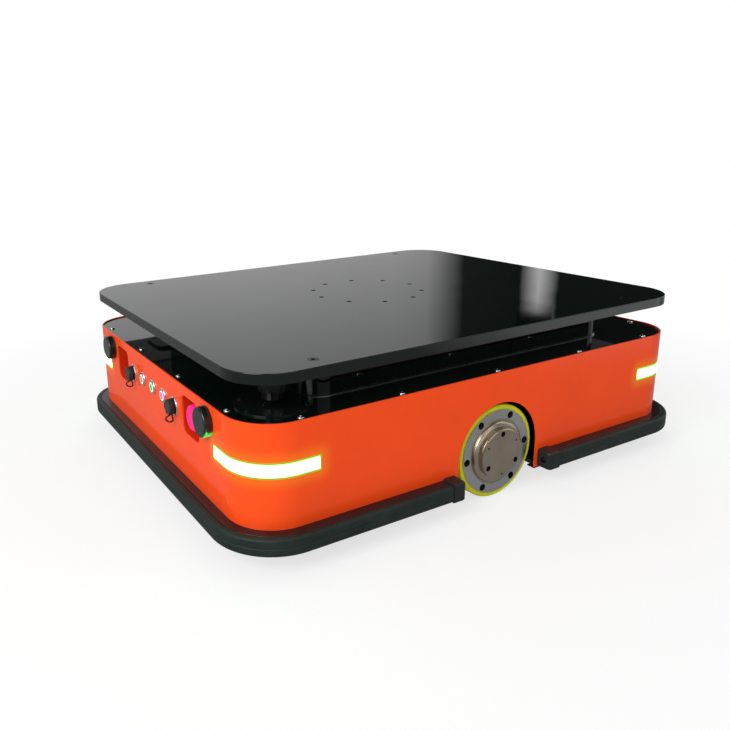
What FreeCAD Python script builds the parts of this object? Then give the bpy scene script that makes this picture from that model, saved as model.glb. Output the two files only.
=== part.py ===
import FreeCAD, Part

# Autonomous mobile robot: a low steel body on two driven wheels and four swivel casters,
# with a fixed load plate held above the deck by a central riser.
# Millimetres.  +X is the direction of travel, +Y is left, +Z is up.  The origin is on the floor
# under the middle of the robot.  The control panel is on the short side that faces -X.

import math
import os

V = FreeCAD.Vector
X = V(1, 0, 0)
Y = V(0, 1, 0)
Z = V(0, 0, 1)

# --- driving dimensions: body ------------------------------------------------------------
body_length = 848.0
body_width = 684.0
body_corner_radius = 71.0
body_bottom = 27.5
body_top = 204.4
sheet = 2.0
fit_gap = 0.3
running_gap = 0.05
shell_lip = 12.0
shell_flange = 22.0
rim_reveal = 2.0

# --- driving dimensions: plates ----------------------------------------------------------
base_thickness = 6.0
mid_thickness = 6.0
mid_margin = 7.0
motor_clearance = 3.0
deck_thickness = 3.0
slot_height = 52.6
plate_thickness = 15.0
plate_edge_round = 1.0

# --- driving dimensions: riser -----------------------------------------------------------
riser_setback_end = 123.0
riser_setback_side = 62.0
riser_corner_radius = 36.0
riser_wall = 3.0
riser_head_thickness = 5.0
riser_head_width = 40.0
lug_radius = 14.0
seal_width = 3.0
seal_height = 2.6

# --- driving dimensions: fasteners -------------------------------------------------------
body_screw_head_radius = 4.6
body_screw_head_height = 2.4
body_screw_radius = 2.5
body_screw_length = 6.0
deck_screw_inset_end = 13.0
deck_screw_inset_side = 12.0
deck_screw_margin_end = 14.0
deck_screw_margin_side = 11.0
deck_screw_inner_end = 86.0
deck_screw_inner_side = 180.0
plate_screw_reach_end = 10.0
plate_screw_reach_side = 32.0
plate_screw_radius = 4.0
plate_screw_head_radius = 8.0
ring_pitch_diameter = 200.0
ring_count = 10
ring_hole_radius = 4.25
ring_hole_chamfer = 0.45

# --- driving dimensions: drive wheels ----------------------------------------------------
wheel_radius = 75.0
tyre_thickness = 8.0
tyre_width = 45.0
tyre_inset = 6.0
rim_proud = 1.0
rim_web = 15.3
hub_ledge = 2.2
hub_dome_radius = 6.5
hub_groove = 3.0
hub_face_height = 6.4
hub_flange_step = 1.0
hub_flange_thickness = 8.0
rim_bolt_edge = 7.2
rim_bolt_count = 6
rim_bolt_phase = 65.0
bolt_head_radius = 4.9
bolt_head_height = 5.0
bolt_shank_radius = 3.0
counterbore_radius = 5.7
counterbore_depth = 8.0
hub_bolt_edge = 7.4
hub_bolt_count = 3
hub_bolt_phase = 91.4
hub_bore_radius = 4.3
jack_hole_radius = 1.6
jack_hole_depth = 6.0
arch_clearance = 5.5
bay_clearance = 8.0

# --- driving dimensions: drive unit ------------------------------------------------------
carrier_radius = 30.0
carrier_depth = 27.0
bracket_plate_thickness = 10.0
bracket_half_width = 78.0
bracket_drop = 34.0
bracket_rise = 32.0
flange_to_bracket = 7.0
reducer_base_radius = 38.0
reducer_base_thickness = 8.0
post_radius = 6.0
post_x = 62.0
post_setback = 22.0
post_boss_radius = 15.0
post_boss_drop = 20.0
post_boss_rise = 7.0
spring_radius = 13.0
motor_size = 60.0
motor_length = 90.0
encoder_size = 52.0
encoder_length = 28.0
motor_corner = 7.0
suspension_travel = 4.0

# --- driving dimensions: casters ---------------------------------------------------------
caster_wheel_radius = 37.5
caster_tread = 7.5
caster_wheel_width = 25.0
caster_trail = 28.0
caster_axle_radius = 4.0
caster_height = 108.0
caster_plate_size = 80.0
caster_plate_thickness = 4.0
caster_bolt_spacing = 60.0
caster_bolt_radius = 3.0
caster_race_radius = 27.0
caster_race_height = 8.0
caster_swivel_gap = 0.4
caster_swing_gap = 6.32
caster_pin_radius = 6.0
caster_bolt_head = 4.0
fork_sheet = 3.0
fork_side_gap = 2.5
fork_crown_radius = 29.0
fork_shoulder = 14.0
fork_toe_radius = 11.0
tower_wall = 3.0
tower_ceiling = 4.0
tower_gap_end = 4.0
tower_gap_side = 16.0

# --- driving dimensions: bumper ----------------------------------------------------------
bumper_lift = 4.5
bumper_height = 25.5
bumper_rail_depth = 14.4
bumper_depth = 24.0
bumper_round = 4.0
bumper_seam = 1.2
bumper_end_gap = 6.0
bumper_cap_length = 23.0
bumper_cap_wall = 1.2
bumper_cap_crown = 2.8
bumper_cap_face = 4.0
bumper_cap_round = 7.0
bumper_cap_brow = 4.6

# --- driving dimensions: corner lamps ----------------------------------------------------
lamp_drop = 73.4
lamp_height = 19.0
lamp_run_end = 34.0
lamp_run_side = 32.0
lamp_proud = 0.4
lamp_lip = 3.0
lamp_lip_thickness = 2.0
lamp_board_thickness = 1.6

# --- driving dimensions: control panel ---------------------------------------------------
button_y = (48.0, 0.0, -48.0)
button_names = ("start", "status", "reset")
button_drop = 41.4
button_bezel_radius = 12.0
button_bezel_proud = 2.4
button_thread_radius = 10.9
button_cap_radius = 8.0
button_cap_proud = 1.2
button_depth = 24.0
button_travel = 2.5
socket_y = 96.0
socket_drop = 43.4
socket_ring_radius = 15.0
socket_ring_proud = 3.0
socket_barrel_radius = 9.0
socket_barrel_proud = 11.0
socket_depth = 20.0
socket_cap_radius = 12.0
socket_cap_length = 11.0
socket_cap_gap = 0.3
tether_radius = 1.2
tether_loop_radius = 8.5
tether_collar = 1.8
recess_y = 157.0
recess_drop = 43.9
recess_width = 60.0
recess_height = 59.0
recess_depth = 30.0
recess_wall = 1.5
recess_lip = 4.0
recess_corner_radius = 11.0
panel_hole_radius = 11.15
estop_collar_radius = 15.0
estop_collar_height = 6.0
estop_head_radius = 20.0
estop_head_height = 13.0
estop_neck_radius = 9.0
estop_stem_radius = 5.0
estop_travel = 4.5
estop_socket_depth = 5.0
contact_block_size = 30.0
contact_block_depth = 40.0
knob_radius = 11.0
knob_height = 6.0
knob_grip_width = 6.5
knob_grip_height = 5.5
knob_shaft_radius = 4.0
antenna_y = 217.0
antenna_drop = 26.4
antenna_radius = 21.7
antenna_height = 12.7
antenna_round = 2.5
antenna_stud_radius = 4.0
antenna_nut_radius = 9.0
antenna_nut_height = 5.0

# --- driving dimensions: laser scanners --------------------------------------------------
scanner_inset = 78.0
scanner_body_radius = 28.0
scanner_body_depth = 62.4
scanner_flange_radius = 54.0
scanner_flange_thickness = 2.0
scanner_screw_pitch_radius = 47.0
scanner_screw_turns = (-90.0, -30.0, 30.0, 90.0)
scanner_foot_radius = 10.5
scanner_foot_height = 7.0
scanner_window_base_radius = 15.8
scanner_window_top_radius = 16.8
scanner_window_height = 11.0
scanner_window_wall = 1.5
scanner_cap_radius = 20.0
scanner_cap_height = 13.0
scanner_rotor_radius = 10.0
scanner_shaft_radius = 3.0

# --- driving dimensions: contents --------------------------------------------------------
battery_clearance = 3.0
battery_width = 380.0
battery_height = 70.0
battery_corner = 6.0
battery_grip_length = 90.0
battery_grip_width = 24.0
battery_grip_depth = 8.0
controller_length = 160.0
controller_width = 220.0
controller_height = 42.0
fin_count = 11
fin_height = 16.0
fin_thickness = 3.0

# --- sizes that follow -------------------------------------------------------------------
end_plane = -body_length / 2
side_plane = body_width / 2
inner_length = body_length - 2 * sheet
inner_width = body_width - 2 * sheet
inner_corner = body_corner_radius - sheet
base_bottom = body_bottom + sheet
base_top = base_bottom + base_thickness
mid_height = max(caster_height + tower_ceiling,
                 wheel_radius + motor_size / 2 + suspension_travel + motor_clearance)
mid_top = mid_height + mid_thickness
deck_top = body_top - rim_reveal
deck_bottom = deck_top - deck_thickness
plate_bottom = deck_top + slot_height
plate_top = plate_bottom + plate_thickness
riser_length = body_length - 2 * riser_setback_end
riser_width = body_width - 2 * riser_setback_side
riser_head_bottom = plate_bottom - riser_head_thickness
plate_screw_x = riser_length / 2 + plate_screw_reach_end
plate_screw_y = riser_width / 2 + plate_screw_reach_side
tyre_outer_face = side_plane - tyre_inset
tyre_inner_face = tyre_outer_face - tyre_width
rim_radius = wheel_radius - tyre_thickness
rim_face = tyre_outer_face + rim_proud
rim_bolt_pitch_radius = rim_radius - rim_bolt_edge
hub_radius = rim_radius - rim_web
hub_shoulder_radius = hub_radius - hub_ledge - hub_dome_radius
hub_face_radius = hub_shoulder_radius - hub_groove
hub_bolt_pitch_radius = hub_face_radius - hub_bolt_edge
hub_flange_radius = rim_radius - hub_flange_step
rim_bore = hub_radius + fit_gap
hub_flange_face = tyre_inner_face - hub_flange_thickness
carrier_root = hub_flange_face - flange_to_bracket - reducer_base_thickness
bracket_back = carrier_root - bracket_plate_thickness
bracket_bottom = wheel_radius - bracket_drop
bracket_top = wheel_radius + bracket_rise
post_y = bracket_back - post_setback
post_boss_bottom = wheel_radius - post_boss_drop
post_boss_top = wheel_radius + post_boss_rise
arch_radius = wheel_radius + arch_clearance
bay_half_length = max(wheel_radius, bracket_half_width) + bay_clearance
bay_depth = bracket_back - bay_clearance
caster_top = caster_height
fork_crown_top = caster_top - caster_plate_thickness - caster_race_height - caster_swivel_gap
tower_inner_radius = caster_swing_gap + math.hypot(caster_trail + caster_wheel_radius,
                                                   caster_wheel_width / 2)
tower_top = mid_height
tower_radius = tower_inner_radius + tower_wall
caster_x = inner_length / 2 - tower_gap_end - tower_radius
caster_y = inner_width / 2 - tower_gap_side - tower_radius
battery_length = caster_x - tower_radius - bay_half_length - battery_clearance
bumper_bottom = body_bottom + bumper_lift
bumper_top = bumper_bottom + bumper_height
bumper_end = arch_radius + bumper_end_gap
lamp_bottom = body_top - lamp_drop
lamp_top = lamp_bottom + lamp_height
lamp_end_x = body_length / 2 - body_corner_radius - lamp_run_side
lamp_end_y = body_width / 2 - body_corner_radius - lamp_run_end
deck_screw_outer_end = body_width / 2 - body_corner_radius - deck_screw_margin_end
deck_screw_outer_side = body_length / 2 - body_corner_radius - deck_screw_margin_side
button_z = body_top - button_drop
socket_z = body_top - socket_drop
recess_z = body_top - recess_drop
antenna_z = body_top - antenna_drop
scanner_body_bottom = deck_top - scanner_body_depth
scanner_x = body_length / 2 - scanner_inset
scanner_y = body_width / 2 - scanner_inset
scanner_places = ((-scanner_x, -scanner_y), (scanner_x, scanner_y))
corner_signs = ((1, 1), (1, -1), (-1, 1), (-1, -1))
corner_names = {(1, 1): "front_left", (1, -1): "front_right",
                (-1, 1): "rear_left", (-1, -1): "rear_right"}


# --- helpers -----------------------------------------------------------------------------
def cylinder(radius, start, end):
    """Round bar between two points."""
    return Part.makeCylinder(radius, (end - start).Length, start, end - start)


def block(x0, x1, y0, y1, z0, z1):
    """Box between opposite corners."""
    return Part.makeBox(x1 - x0, y1 - y0, z1 - z0, V(x0, y0, z0))


def slab(length, width, radius, z0, z1, centre=V(0, 0, 0)):
    """Upright prism of a rectangle with round corners, centred over a point."""
    a = length / 2 - radius
    b = width / 2 - radius
    edges = []
    corners = ((1, -1, -90), (1, 1, 0), (-1, 1, 90), (-1, -1, 180))
    for k, (sx, sy, start) in enumerate(corners):
        middle = centre + V(sx * a, sy * b, z0)
        points = [middle + radius * V(math.cos(t), math.sin(t), 0)
                  for t in (math.radians(start + step) for step in (0, 45, 90))]
        edges.append(Part.Arc(*points).toShape())
        nx, ny, turn = corners[(k + 1) % 4]
        after = centre + V(nx * a, ny * b, z0)
        angle = math.radians(turn)
        after = after + radius * V(math.cos(angle), math.sin(angle), 0)
        edges.append(Part.LineSegment(points[2], after).toShape())
    return Part.Face(Part.Wire(edges)).extrude(V(0, 0, z1 - z0))


def body_ring(outer_offset, inner_offset, z0, z1):
    """Ring that follows the body outline, between two offsets from its outer face."""
    outer = slab(body_length + 2 * outer_offset, body_width + 2 * outer_offset,
                 body_corner_radius + outer_offset, z0, z1)
    inner = slab(body_length + 2 * inner_offset, body_width + 2 * inner_offset,
                 body_corner_radius + inner_offset, z0 - 1, z1 + 1)
    return outer.cut(inner)


def panel_prism(y, z, width, height, radius, x0, x1):
    """Prism along X of a rectangle with round corners, for the control panel."""
    shape = slab(height, width, radius, 0, x1 - x0)
    shape.rotate(V(0, 0, 0), Y, 90)
    shape.translate(V(x0, y, z))
    return shape


def revolve_y(profile, start):
    """Solid turned about an axis along Y at wheel height, from (radius, y) points."""
    points = [V(0, y, wheel_radius + r) for r, y in profile]
    wire = Part.makePolygon(points + [points[0]])
    return Part.Face(wire).revolve(V(0, start, wheel_radius), Y, 360)


def round_holes(radius, pitch_radius, count, phase, y0, y1):
    """Round bars along Y, evenly spaced about the wheel axis."""
    bars = []
    for k in range(count):
        angle = math.radians(phase + k * 360 / count)
        x = pitch_radius * math.cos(angle)
        z = wheel_radius + pitch_radius * math.sin(angle)
        bars.append(cylinder(radius, V(x, y0, z), V(x, y1, z)))
    return bars


def edges_at(shape, test):
    """Edges whose bounding box passes a test."""
    return [edge for edge in shape.Edges if test(edge.BoundBox)]


def side_of(shape, sign):
    """The piece built for the left side, or its mirror image on the right."""
    if sign > 0:
        return shape
    return shape.mirror(V(0, 0, 0), Y)


# --- shell, deck and load plate ----------------------------------------------------------
def lamp_zone(sx, sy, z0, z1, grow=0.0):
    """Block that holds one corner lamp: everything outboard of its two ends."""
    x0, x1 = sorted((sx * (lamp_end_x - grow), sx * body_length))
    y0, y1 = sorted((sy * (lamp_end_y - grow), sy * body_width))
    return block(x0, x1, y0, y1, z0, z1)


def wheel_opening(sign):
    """Arched opening in the side of the shell, open at the bottom."""
    y0, y1 = sorted((sign * (side_plane + 1), sign * (side_plane - sheet - shell_lip - 1)))
    arch = cylinder(arch_radius, V(0, y0, wheel_radius), V(0, y1, wheel_radius))
    return arch.fuse(block(-arch_radius, arch_radius, y0, y1, body_bottom - 1, wheel_radius))


def deck_screw_places():
    """Points on the deck where its screws stand."""
    end_x = body_length / 2 - deck_screw_inset_end
    side_y = body_width / 2 - deck_screw_inset_side
    places = [(sign * end_x, side * y) for sign in (-1, 1) for side in (-1, 1)
              for y in (deck_screw_inner_end, deck_screw_outer_end)]
    places += [(side * x, sign * side_y) for sign in (-1, 1) for side in (-1, 1)
               for x in (deck_screw_inner_side, deck_screw_outer_side)]
    places += [(0, sign * side_y) for sign in (-1, 1)]
    return places


def make_shell():
    """Folded sheet shell with a lip under the base plate and a flange under the deck."""
    shape = body_ring(0, -sheet, body_bottom, body_top)
    shape = shape.fuse(body_ring(-sheet, -sheet - shell_lip, body_bottom, base_bottom))
    shape = shape.fuse(body_ring(-sheet, -sheet - shell_flange, deck_bottom - sheet, deck_bottom))
    cuts = [wheel_opening(sign) for sign in (-1, 1)]
    cuts += [lamp_zone(sx, sy, lamp_bottom, lamp_top) for sx, sy in corner_signs]
    x0 = end_plane - 1
    x1 = end_plane + sheet + 1
    for sign in (-1, 1):
        cuts.append(panel_prism(sign * recess_y, recess_z, recess_width, recess_height,
                                recess_corner_radius, x0, x1))
        cuts.append(cylinder(socket_barrel_radius + fit_gap, V(x0, sign * socket_y, socket_z),
                             V(x1, sign * socket_y, socket_z)))
        cuts.append(cylinder(antenna_stud_radius + fit_gap, V(x0, sign * antenna_y, antenna_z),
                             V(x1, sign * antenna_y, antenna_z)))
    for y in button_y:
        cuts.append(cylinder(panel_hole_radius, V(x0, y, button_z), V(x1, y, button_z)))
    for x, y in deck_screw_places():
        cuts.append(cylinder(body_screw_radius + fit_gap, V(x, y, deck_bottom - sheet - 1),
                             V(x, y, deck_bottom + 1)))
    return shape.cut(cuts)


def make_deck():
    """Gloss deck panel, let in below the rim of the shell."""
    shape = slab(inner_length - 2 * fit_gap, inner_width - 2 * fit_gap,
                 inner_corner - fit_gap, deck_bottom, deck_top)
    cuts = [slab(riser_length + 2 * fit_gap, riser_width + 2 * fit_gap,
                 riser_corner_radius + fit_gap, deck_bottom - 1, deck_top + 1)]
    for x, y in scanner_places:
        cuts.append(cylinder(scanner_body_radius + fit_gap, V(x, y, deck_bottom - 1),
                             V(x, y, deck_top + 1)))
    for x, y in deck_screw_places():
        cuts.append(cylinder(body_screw_radius + fit_gap, V(x, y, deck_bottom - 1),
                             V(x, y, deck_top + 1)))
    return shape.cut(cuts)


def button_screw(seat, axis, length):
    """Button-head screw with a hexagon socket, its head standing on a seat."""
    head = Part.makeCylinder(body_screw_head_radius, body_screw_head_height, V(0, 0, 0), Z)
    crown = edges_at(head, lambda box: box.ZMin > body_screw_head_height - 0.1)
    head = head.makeFillet(body_screw_head_height * 0.7, crown)
    screw = head.fuse(cylinder(body_screw_radius, V(0, 0, -length), V(0, 0, 0)))
    screw = screw.cut(hex_bar(body_screw_radius * 0.7, V(0, 0, body_screw_head_height * 0.45),
                              V(0, 0, body_screw_head_height + 1))).removeSplitter()
    screw.Placement = FreeCAD.Placement(seat, FreeCAD.Rotation(Z, axis))
    return screw


def make_body_screws():
    """Button-head screws round the edge of the deck and in the bumper's end caps."""
    screws = [button_screw(V(x, y, deck_top), Z, body_screw_length)
              for x, y in deck_screw_places()]
    middle = (bumper_bottom + bumper_top) / 2
    for sx, sy in corner_signs:
        seat = V(sx * bumper_end, sy * (side_plane + bumper_depth / 2), middle)
        screws.append(button_screw(seat, V(-sx, 0, 0), bumper_cap_face))
    return Part.Compound(screws)


def plate_screw_places():
    """Points of the four countersunk screws that hold the load plate."""
    return [(sx * plate_screw_x, sy * plate_screw_y) for sx, sy in corner_signs]


def countersink(x, y, grow):
    """Head and shank of a countersunk screw, grown by a gap for its hole."""
    head = Part.makeCone(plate_screw_head_radius + grow, plate_screw_radius + grow,
                         plate_screw_head_radius - plate_screw_radius,
                         V(x, y, plate_top), V(0, 0, -1))
    shank = cylinder(plate_screw_radius + grow, V(x, y, riser_head_bottom), V(x, y, plate_top))
    return head.fuse(shank)


def make_top_plate():
    """Thick load plate with a ring of tapped holes and four countersinks."""
    shape = slab(body_length, body_width, body_corner_radius, plate_bottom, plate_top)
    rim = edges_at(shape, lambda box: box.ZMin > plate_top - 0.1)
    shape = shape.makeFillet(plate_edge_round, rim)
    cuts = []
    for k in range(ring_count):
        angle = 2 * math.pi * k / ring_count
        x = ring_pitch_diameter / 2 * math.cos(angle)
        y = ring_pitch_diameter / 2 * math.sin(angle)
        cuts.append(cylinder(ring_hole_radius, V(x, y, plate_bottom - 1), V(x, y, plate_top + 1)))
        cuts.append(Part.makeCone(ring_hole_radius + ring_hole_chamfer, ring_hole_radius,
                                  ring_hole_chamfer, V(x, y, plate_top), V(0, 0, -1)))
    cuts += [countersink(x, y, running_gap) for x, y in plate_screw_places()]
    return shape.cut(cuts)


def make_top_plate_screws():
    """Countersunk screws with hexagon sockets."""
    screws = []
    for x, y in plate_screw_places():
        socket = hex_bar(plate_screw_radius * 0.72, V(x, y, plate_top - plate_screw_radius),
                         V(x, y, plate_top + 1))
        screws.append(countersink(x, y, 0).cut(socket).removeSplitter())
    return Part.Compound(screws)


def hex_bar(radius, start, end):
    """Six-sided bar along the line between two points."""
    axis = end - start
    side = X if abs(axis.z) > 0 else Z
    across = axis.cross(side).normalize()
    up = across.cross(axis).normalize()
    points = []
    for k in range(7):
        angle = math.radians(60 * k)
        points.append(start + radius * math.cos(angle) * across + radius * math.sin(angle) * up)
    return Part.Face(Part.makePolygon(points)).extrude(axis)


# --- frame -------------------------------------------------------------------------------
def bays(depth, z0, z1):
    """Blocks that clear the two drive wheels."""
    return [block(-bay_half_length, bay_half_length, *sorted((sign * depth, sign * body_width)),
                  z0 - 1, z1 + 1) for sign in (-1, 1)]


def make_base_plate():
    """Floor plate on the shell's lip, open over the wheels and the casters."""
    shape = slab(inner_length - 2 * fit_gap, inner_width - 2 * fit_gap,
                 inner_corner - fit_gap, base_bottom, base_top)
    cuts = bays(bay_depth, base_bottom, base_top)
    for sx, sy in corner_signs:
        x = sx * caster_x
        y = sy * caster_y
        cuts.append(cylinder(tower_inner_radius, V(x, y, base_bottom - 1), V(x, y, base_top + 1)))
    return shape.cut(cuts)


def caster_bolt_places(sx, sy):
    """Points of the four bolts that hold one caster."""
    half = caster_bolt_spacing / 2
    return [(sx * caster_x + a * half, sy * caster_y + b * half) for a, b in corner_signs]


def make_caster_towers():
    """Round cups that stand on the base plate and take the casters."""
    towers = []
    for sx, sy in corner_signs:
        foot = V(sx * caster_x, sy * caster_y, base_top)
        top = V(foot.x, foot.y, tower_top)
        ceiling = V(foot.x, foot.y, caster_top)
        cup = cylinder(tower_radius, foot, top).cut(cylinder(tower_inner_radius, foot, ceiling))
        holes = [cylinder(caster_bolt_radius + fit_gap, V(x, y, caster_top - 1),
                          V(x, y, tower_top + 1)) for x, y in caster_bolt_places(sx, sy)]
        towers.append(cup.cut(holes))
    return Part.Compound(towers)


def make_mid_plate():
    """Upper plate on the caster towers and suspension posts; it carries the riser.

    A notch behind the control panel leaves room for the recess cups and the panel's wiring.
    """
    shape = slab(inner_length - 2 * mid_margin, inner_width - 2 * mid_margin,
                 inner_corner - mid_margin, mid_height, mid_top)
    cuts = bays(bay_depth, mid_height, mid_top)
    notch_end = end_plane + recess_depth + recess_wall + mid_margin
    notch_side = recess_y + recess_width / 2 + recess_wall + mid_margin
    cuts.append(block(end_plane, notch_end, -notch_side, notch_side, mid_height - 1, mid_top + 1))
    cuts.append(slab(riser_length / 2, riser_width * 0.4, riser_corner_radius,
                     mid_height - 1, mid_top + 1))
    return shape.cut(cuts)


def make_riser_frame():
    """Welded riser box with a head flange and four lugs for the plate screws."""
    box = slab(riser_length, riser_width, riser_corner_radius, mid_top, riser_head_bottom)
    box = box.cut(slab(riser_length - 2 * riser_wall, riser_width - 2 * riser_wall,
                       riser_corner_radius - riser_wall, mid_top - 1, riser_head_bottom + 1))
    head = slab(riser_length, riser_width, riser_corner_radius, riser_head_bottom, plate_bottom)
    for sx, sy in corner_signs:
        lug_x = sorted((sx * (plate_screw_x + lug_radius),
                        sx * (riser_length / 2 - riser_corner_radius)))
        lug_y = sorted((sy * (plate_screw_y + lug_radius),
                        sy * (riser_width / 2 - riser_corner_radius)))
        middle = V((lug_x[0] + lug_x[1]) / 2, (lug_y[0] + lug_y[1]) / 2, 0)
        head = head.fuse(slab(lug_x[1] - lug_x[0], lug_y[1] - lug_y[0], lug_radius,
                              riser_head_bottom, plate_bottom, middle))
    head = head.cut(slab(riser_length - 2 * riser_head_width, riser_width - 2 * riser_head_width,
                         riser_corner_radius - riser_wall,
                         riser_head_bottom - 1, plate_bottom + 1))
    shape = box.fuse(head).removeSplitter()
    holes = [cylinder(plate_screw_radius + running_gap, V(x, y, riser_head_bottom - 1),
                      V(x, y, plate_bottom + 1)) for x, y in plate_screw_places()]
    return shape.cut(holes)


def make_riser_seal():
    """Bright trim round the foot of the riser, on the deck."""
    outer = slab(riser_length + 2 * (fit_gap + seal_width), riser_width + 2 * (fit_gap + seal_width),
                 riser_corner_radius + fit_gap + seal_width, deck_top, deck_top + seal_height)
    crown = edges_at(outer, lambda box: box.ZMin > deck_top + seal_height - 0.1)
    outer = outer.makeChamfer(seal_width / 2, crown)
    return outer.cut(slab(riser_length + 2 * fit_gap, riser_width + 2 * fit_gap,
                          riser_corner_radius + fit_gap, deck_top - 1, deck_top + seal_height + 1))


# --- contents ----------------------------------------------------------------------------
def make_battery():
    """Battery pack on the base plate behind the drive motors."""
    front = -bay_half_length
    pack = slab(battery_length, battery_width, battery_corner, base_top, base_top + battery_height,
                V(front - battery_length / 2, 0, 0))
    grip_x = front - battery_length / 2
    grip = block(grip_x - battery_grip_width / 2, grip_x + battery_grip_width / 2,
                 -battery_grip_length / 2, battery_grip_length / 2,
                 base_top + battery_height - battery_grip_depth, base_top + battery_height + 1)
    return pack.cut(grip)


def make_drive_controller():
    """Finned dual motor controller on the base plate ahead of the drive motors."""
    rear = bay_half_length
    case_top = base_top + controller_height
    shape = block(rear, rear + controller_length, -controller_width / 2, controller_width / 2,
                  base_top, case_top)
    pitch = (controller_width - fin_thickness) / (fin_count - 1)
    for k in range(fin_count):
        y = -controller_width / 2 + k * pitch
        shape = shape.fuse(block(rear, rear + controller_length, y, y + fin_thickness,
                                 case_top, case_top + fin_height))
    return shape.removeSplitter()


# --- corner lamps ------------------------------------------------------------------------
def make_led_diffusers():
    """Milky light bands that wrap the four corners, held by a lip behind the sheet."""
    band = body_ring(lamp_proud, -sheet, lamp_bottom + fit_gap, lamp_top - fit_gap)
    lip = body_ring(-sheet, -sheet - lamp_lip_thickness, lamp_bottom - lamp_lip,
                    lamp_top + lamp_lip)
    pieces = []
    for sx, sy in corner_signs:
        face = band.common(lamp_zone(sx, sy, lamp_bottom, lamp_top, -fit_gap))
        back = lip.common(lamp_zone(sx, sy, lamp_bottom - lamp_lip, lamp_top + lamp_lip, lamp_lip))
        pieces.append(face.fuse(back).removeSplitter())
    return Part.Compound(pieces)


def make_led_boards():
    """Flexible circuit strips with the lamps' light sources, behind the bands."""
    depth = sheet + lamp_lip_thickness
    strip = body_ring(-depth, -depth - lamp_board_thickness, lamp_bottom, lamp_top)
    pieces = [strip.common(lamp_zone(sx, sy, lamp_bottom, lamp_top)) for sx, sy in corner_signs]
    return Part.Compound(pieces)


# --- bumper ------------------------------------------------------------------------------
def half_space(sign, x0):
    """Block that keeps the front or the rear of the body beyond a plane."""
    a, b = sorted((sign * x0, sign * body_length))
    return block(a, b, -body_width, body_width, 0, plate_top)


def bumper_profile(outer_offset, inner_offset, round_radius, seam):
    """Ring of the bumper with rounded outer edges and a bevelled inner top edge."""
    outer = slab(body_length + 2 * outer_offset, body_width + 2 * outer_offset,
                 body_corner_radius + outer_offset, bumper_bottom, bumper_top)
    rims = edges_at(outer, lambda box: box.ZLength < 0.1)
    outer = outer.makeFillet(round_radius, rims)
    inner = slab(body_length + 2 * inner_offset, body_width + 2 * inner_offset,
                 body_corner_radius + inner_offset, bumper_bottom - 1, bumper_top + 1)
    if seam > 0:
        flare = slab(body_length + 2 * (inner_offset + seam), body_width + 2 * (inner_offset + seam),
                     body_corner_radius + inner_offset + seam, bumper_top - seam, bumper_top + 1)
        inner = inner.fuse(flare)
    return outer.cut(inner)


def bumper_stop():
    """Distance from the middle at which the rails and the rubber end, inside the caps."""
    return bumper_end + bumper_cap_face


def make_bumper_rails():
    """Mounting rails of the front and rear bumpers, bolted to the shell."""
    ring = bumper_profile(bumper_rail_depth, 0, bumper_seam / 2, 0)
    return Part.Compound([ring.common(half_space(sign, bumper_stop())) for sign in (1, -1)])


def make_bumper_rubbers():
    """Rubber contact strips on the rails."""
    ring = bumper_profile(bumper_depth, bumper_rail_depth, bumper_round, bumper_seam)
    return Part.Compound([ring.common(half_space(sign, bumper_stop())) for sign in (1, -1)])


def make_bumper_caps():
    """Moulded end caps that close the four bumper ends beside the wheels.

    Each is a sleeve over the rail and the rubber with a full round corner, a domed brow on
    top and a bevel where it meets the rubber.
    """
    caps = []
    outer_y = side_plane + bumper_depth + bumper_cap_wall
    bottom = bumper_bottom - bumper_cap_wall
    top = bumper_top + bumper_cap_crown
    back = bumper_end + bumper_cap_length
    cap = block(bumper_end, back, side_plane, outer_y, bottom, top)
    corner = edges_at(cap, lambda box: box.ZLength > 1 and box.XMax < bumper_end + 0.1
                      and box.YMin > outer_y - 0.1)
    cap = cap.makeFillet(bumper_cap_round, corner)
    brow = edges_at(cap, lambda box: box.ZMin > top - 0.1 and box.XMin < back - 0.1
                    and box.YMax > side_plane + 0.1)
    cap = cap.makeFillet(bumper_cap_brow, brow)
    sill = edges_at(cap, lambda box: box.ZMax < bottom + 0.1 and box.XMin < back - 0.1
                    and box.YMax > side_plane + 0.1)
    cap = cap.makeFillet(bumper_round - bumper_cap_wall, sill)
    bevel = bumper_cap_crown - bumper_cap_wall
    wedge = Part.makePolygon([V(back - bevel, 0, top), V(back, 0, top - bevel), V(back, 0, top),
                              V(back - bevel, 0, top)])
    cap = cap.cut(Part.Face(wedge).extrude(V(0, outer_y + 1, 0)))
    pocket = block(bumper_stop(), back + 1, side_plane - bumper_round,
                   side_plane + bumper_depth, bumper_bottom, bumper_top)
    rims = edges_at(pocket, lambda box: box.XLength > 1 and box.YMin > side_plane)
    pocket = pocket.makeFillet(bumper_round, rims)
    middle = V(bumper_stop(), side_plane + bumper_depth / 2, (bumper_bottom + bumper_top) / 2)
    hole = cylinder(body_screw_radius + running_gap, middle - V(2 * bumper_cap_face, 0, 0), middle)
    cap = cap.cut([pocket, hole])
    for sx, sy in corner_signs:
        shape = side_of(cap, sy)
        caps.append(shape if sx > 0 else shape.mirror(V(0, 0, 0), X))
    return Part.Compound(caps)


# --- drive units -------------------------------------------------------------------------
def make_tyre():
    """Polyurethane tyre of the left drive wheel."""
    tyre = cylinder(wheel_radius, V(0, tyre_inner_face, wheel_radius),
                    V(0, tyre_outer_face, wheel_radius))
    rims = edges_at(tyre, lambda box: box.YLength < 0.1)
    tyre = tyre.makeFillet(tyre_thickness / 4, rims)
    return tyre.cut(cylinder(rim_radius, V(0, tyre_inner_face - 1, wheel_radius),
                             V(0, tyre_outer_face + 1, wheel_radius)))


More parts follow.
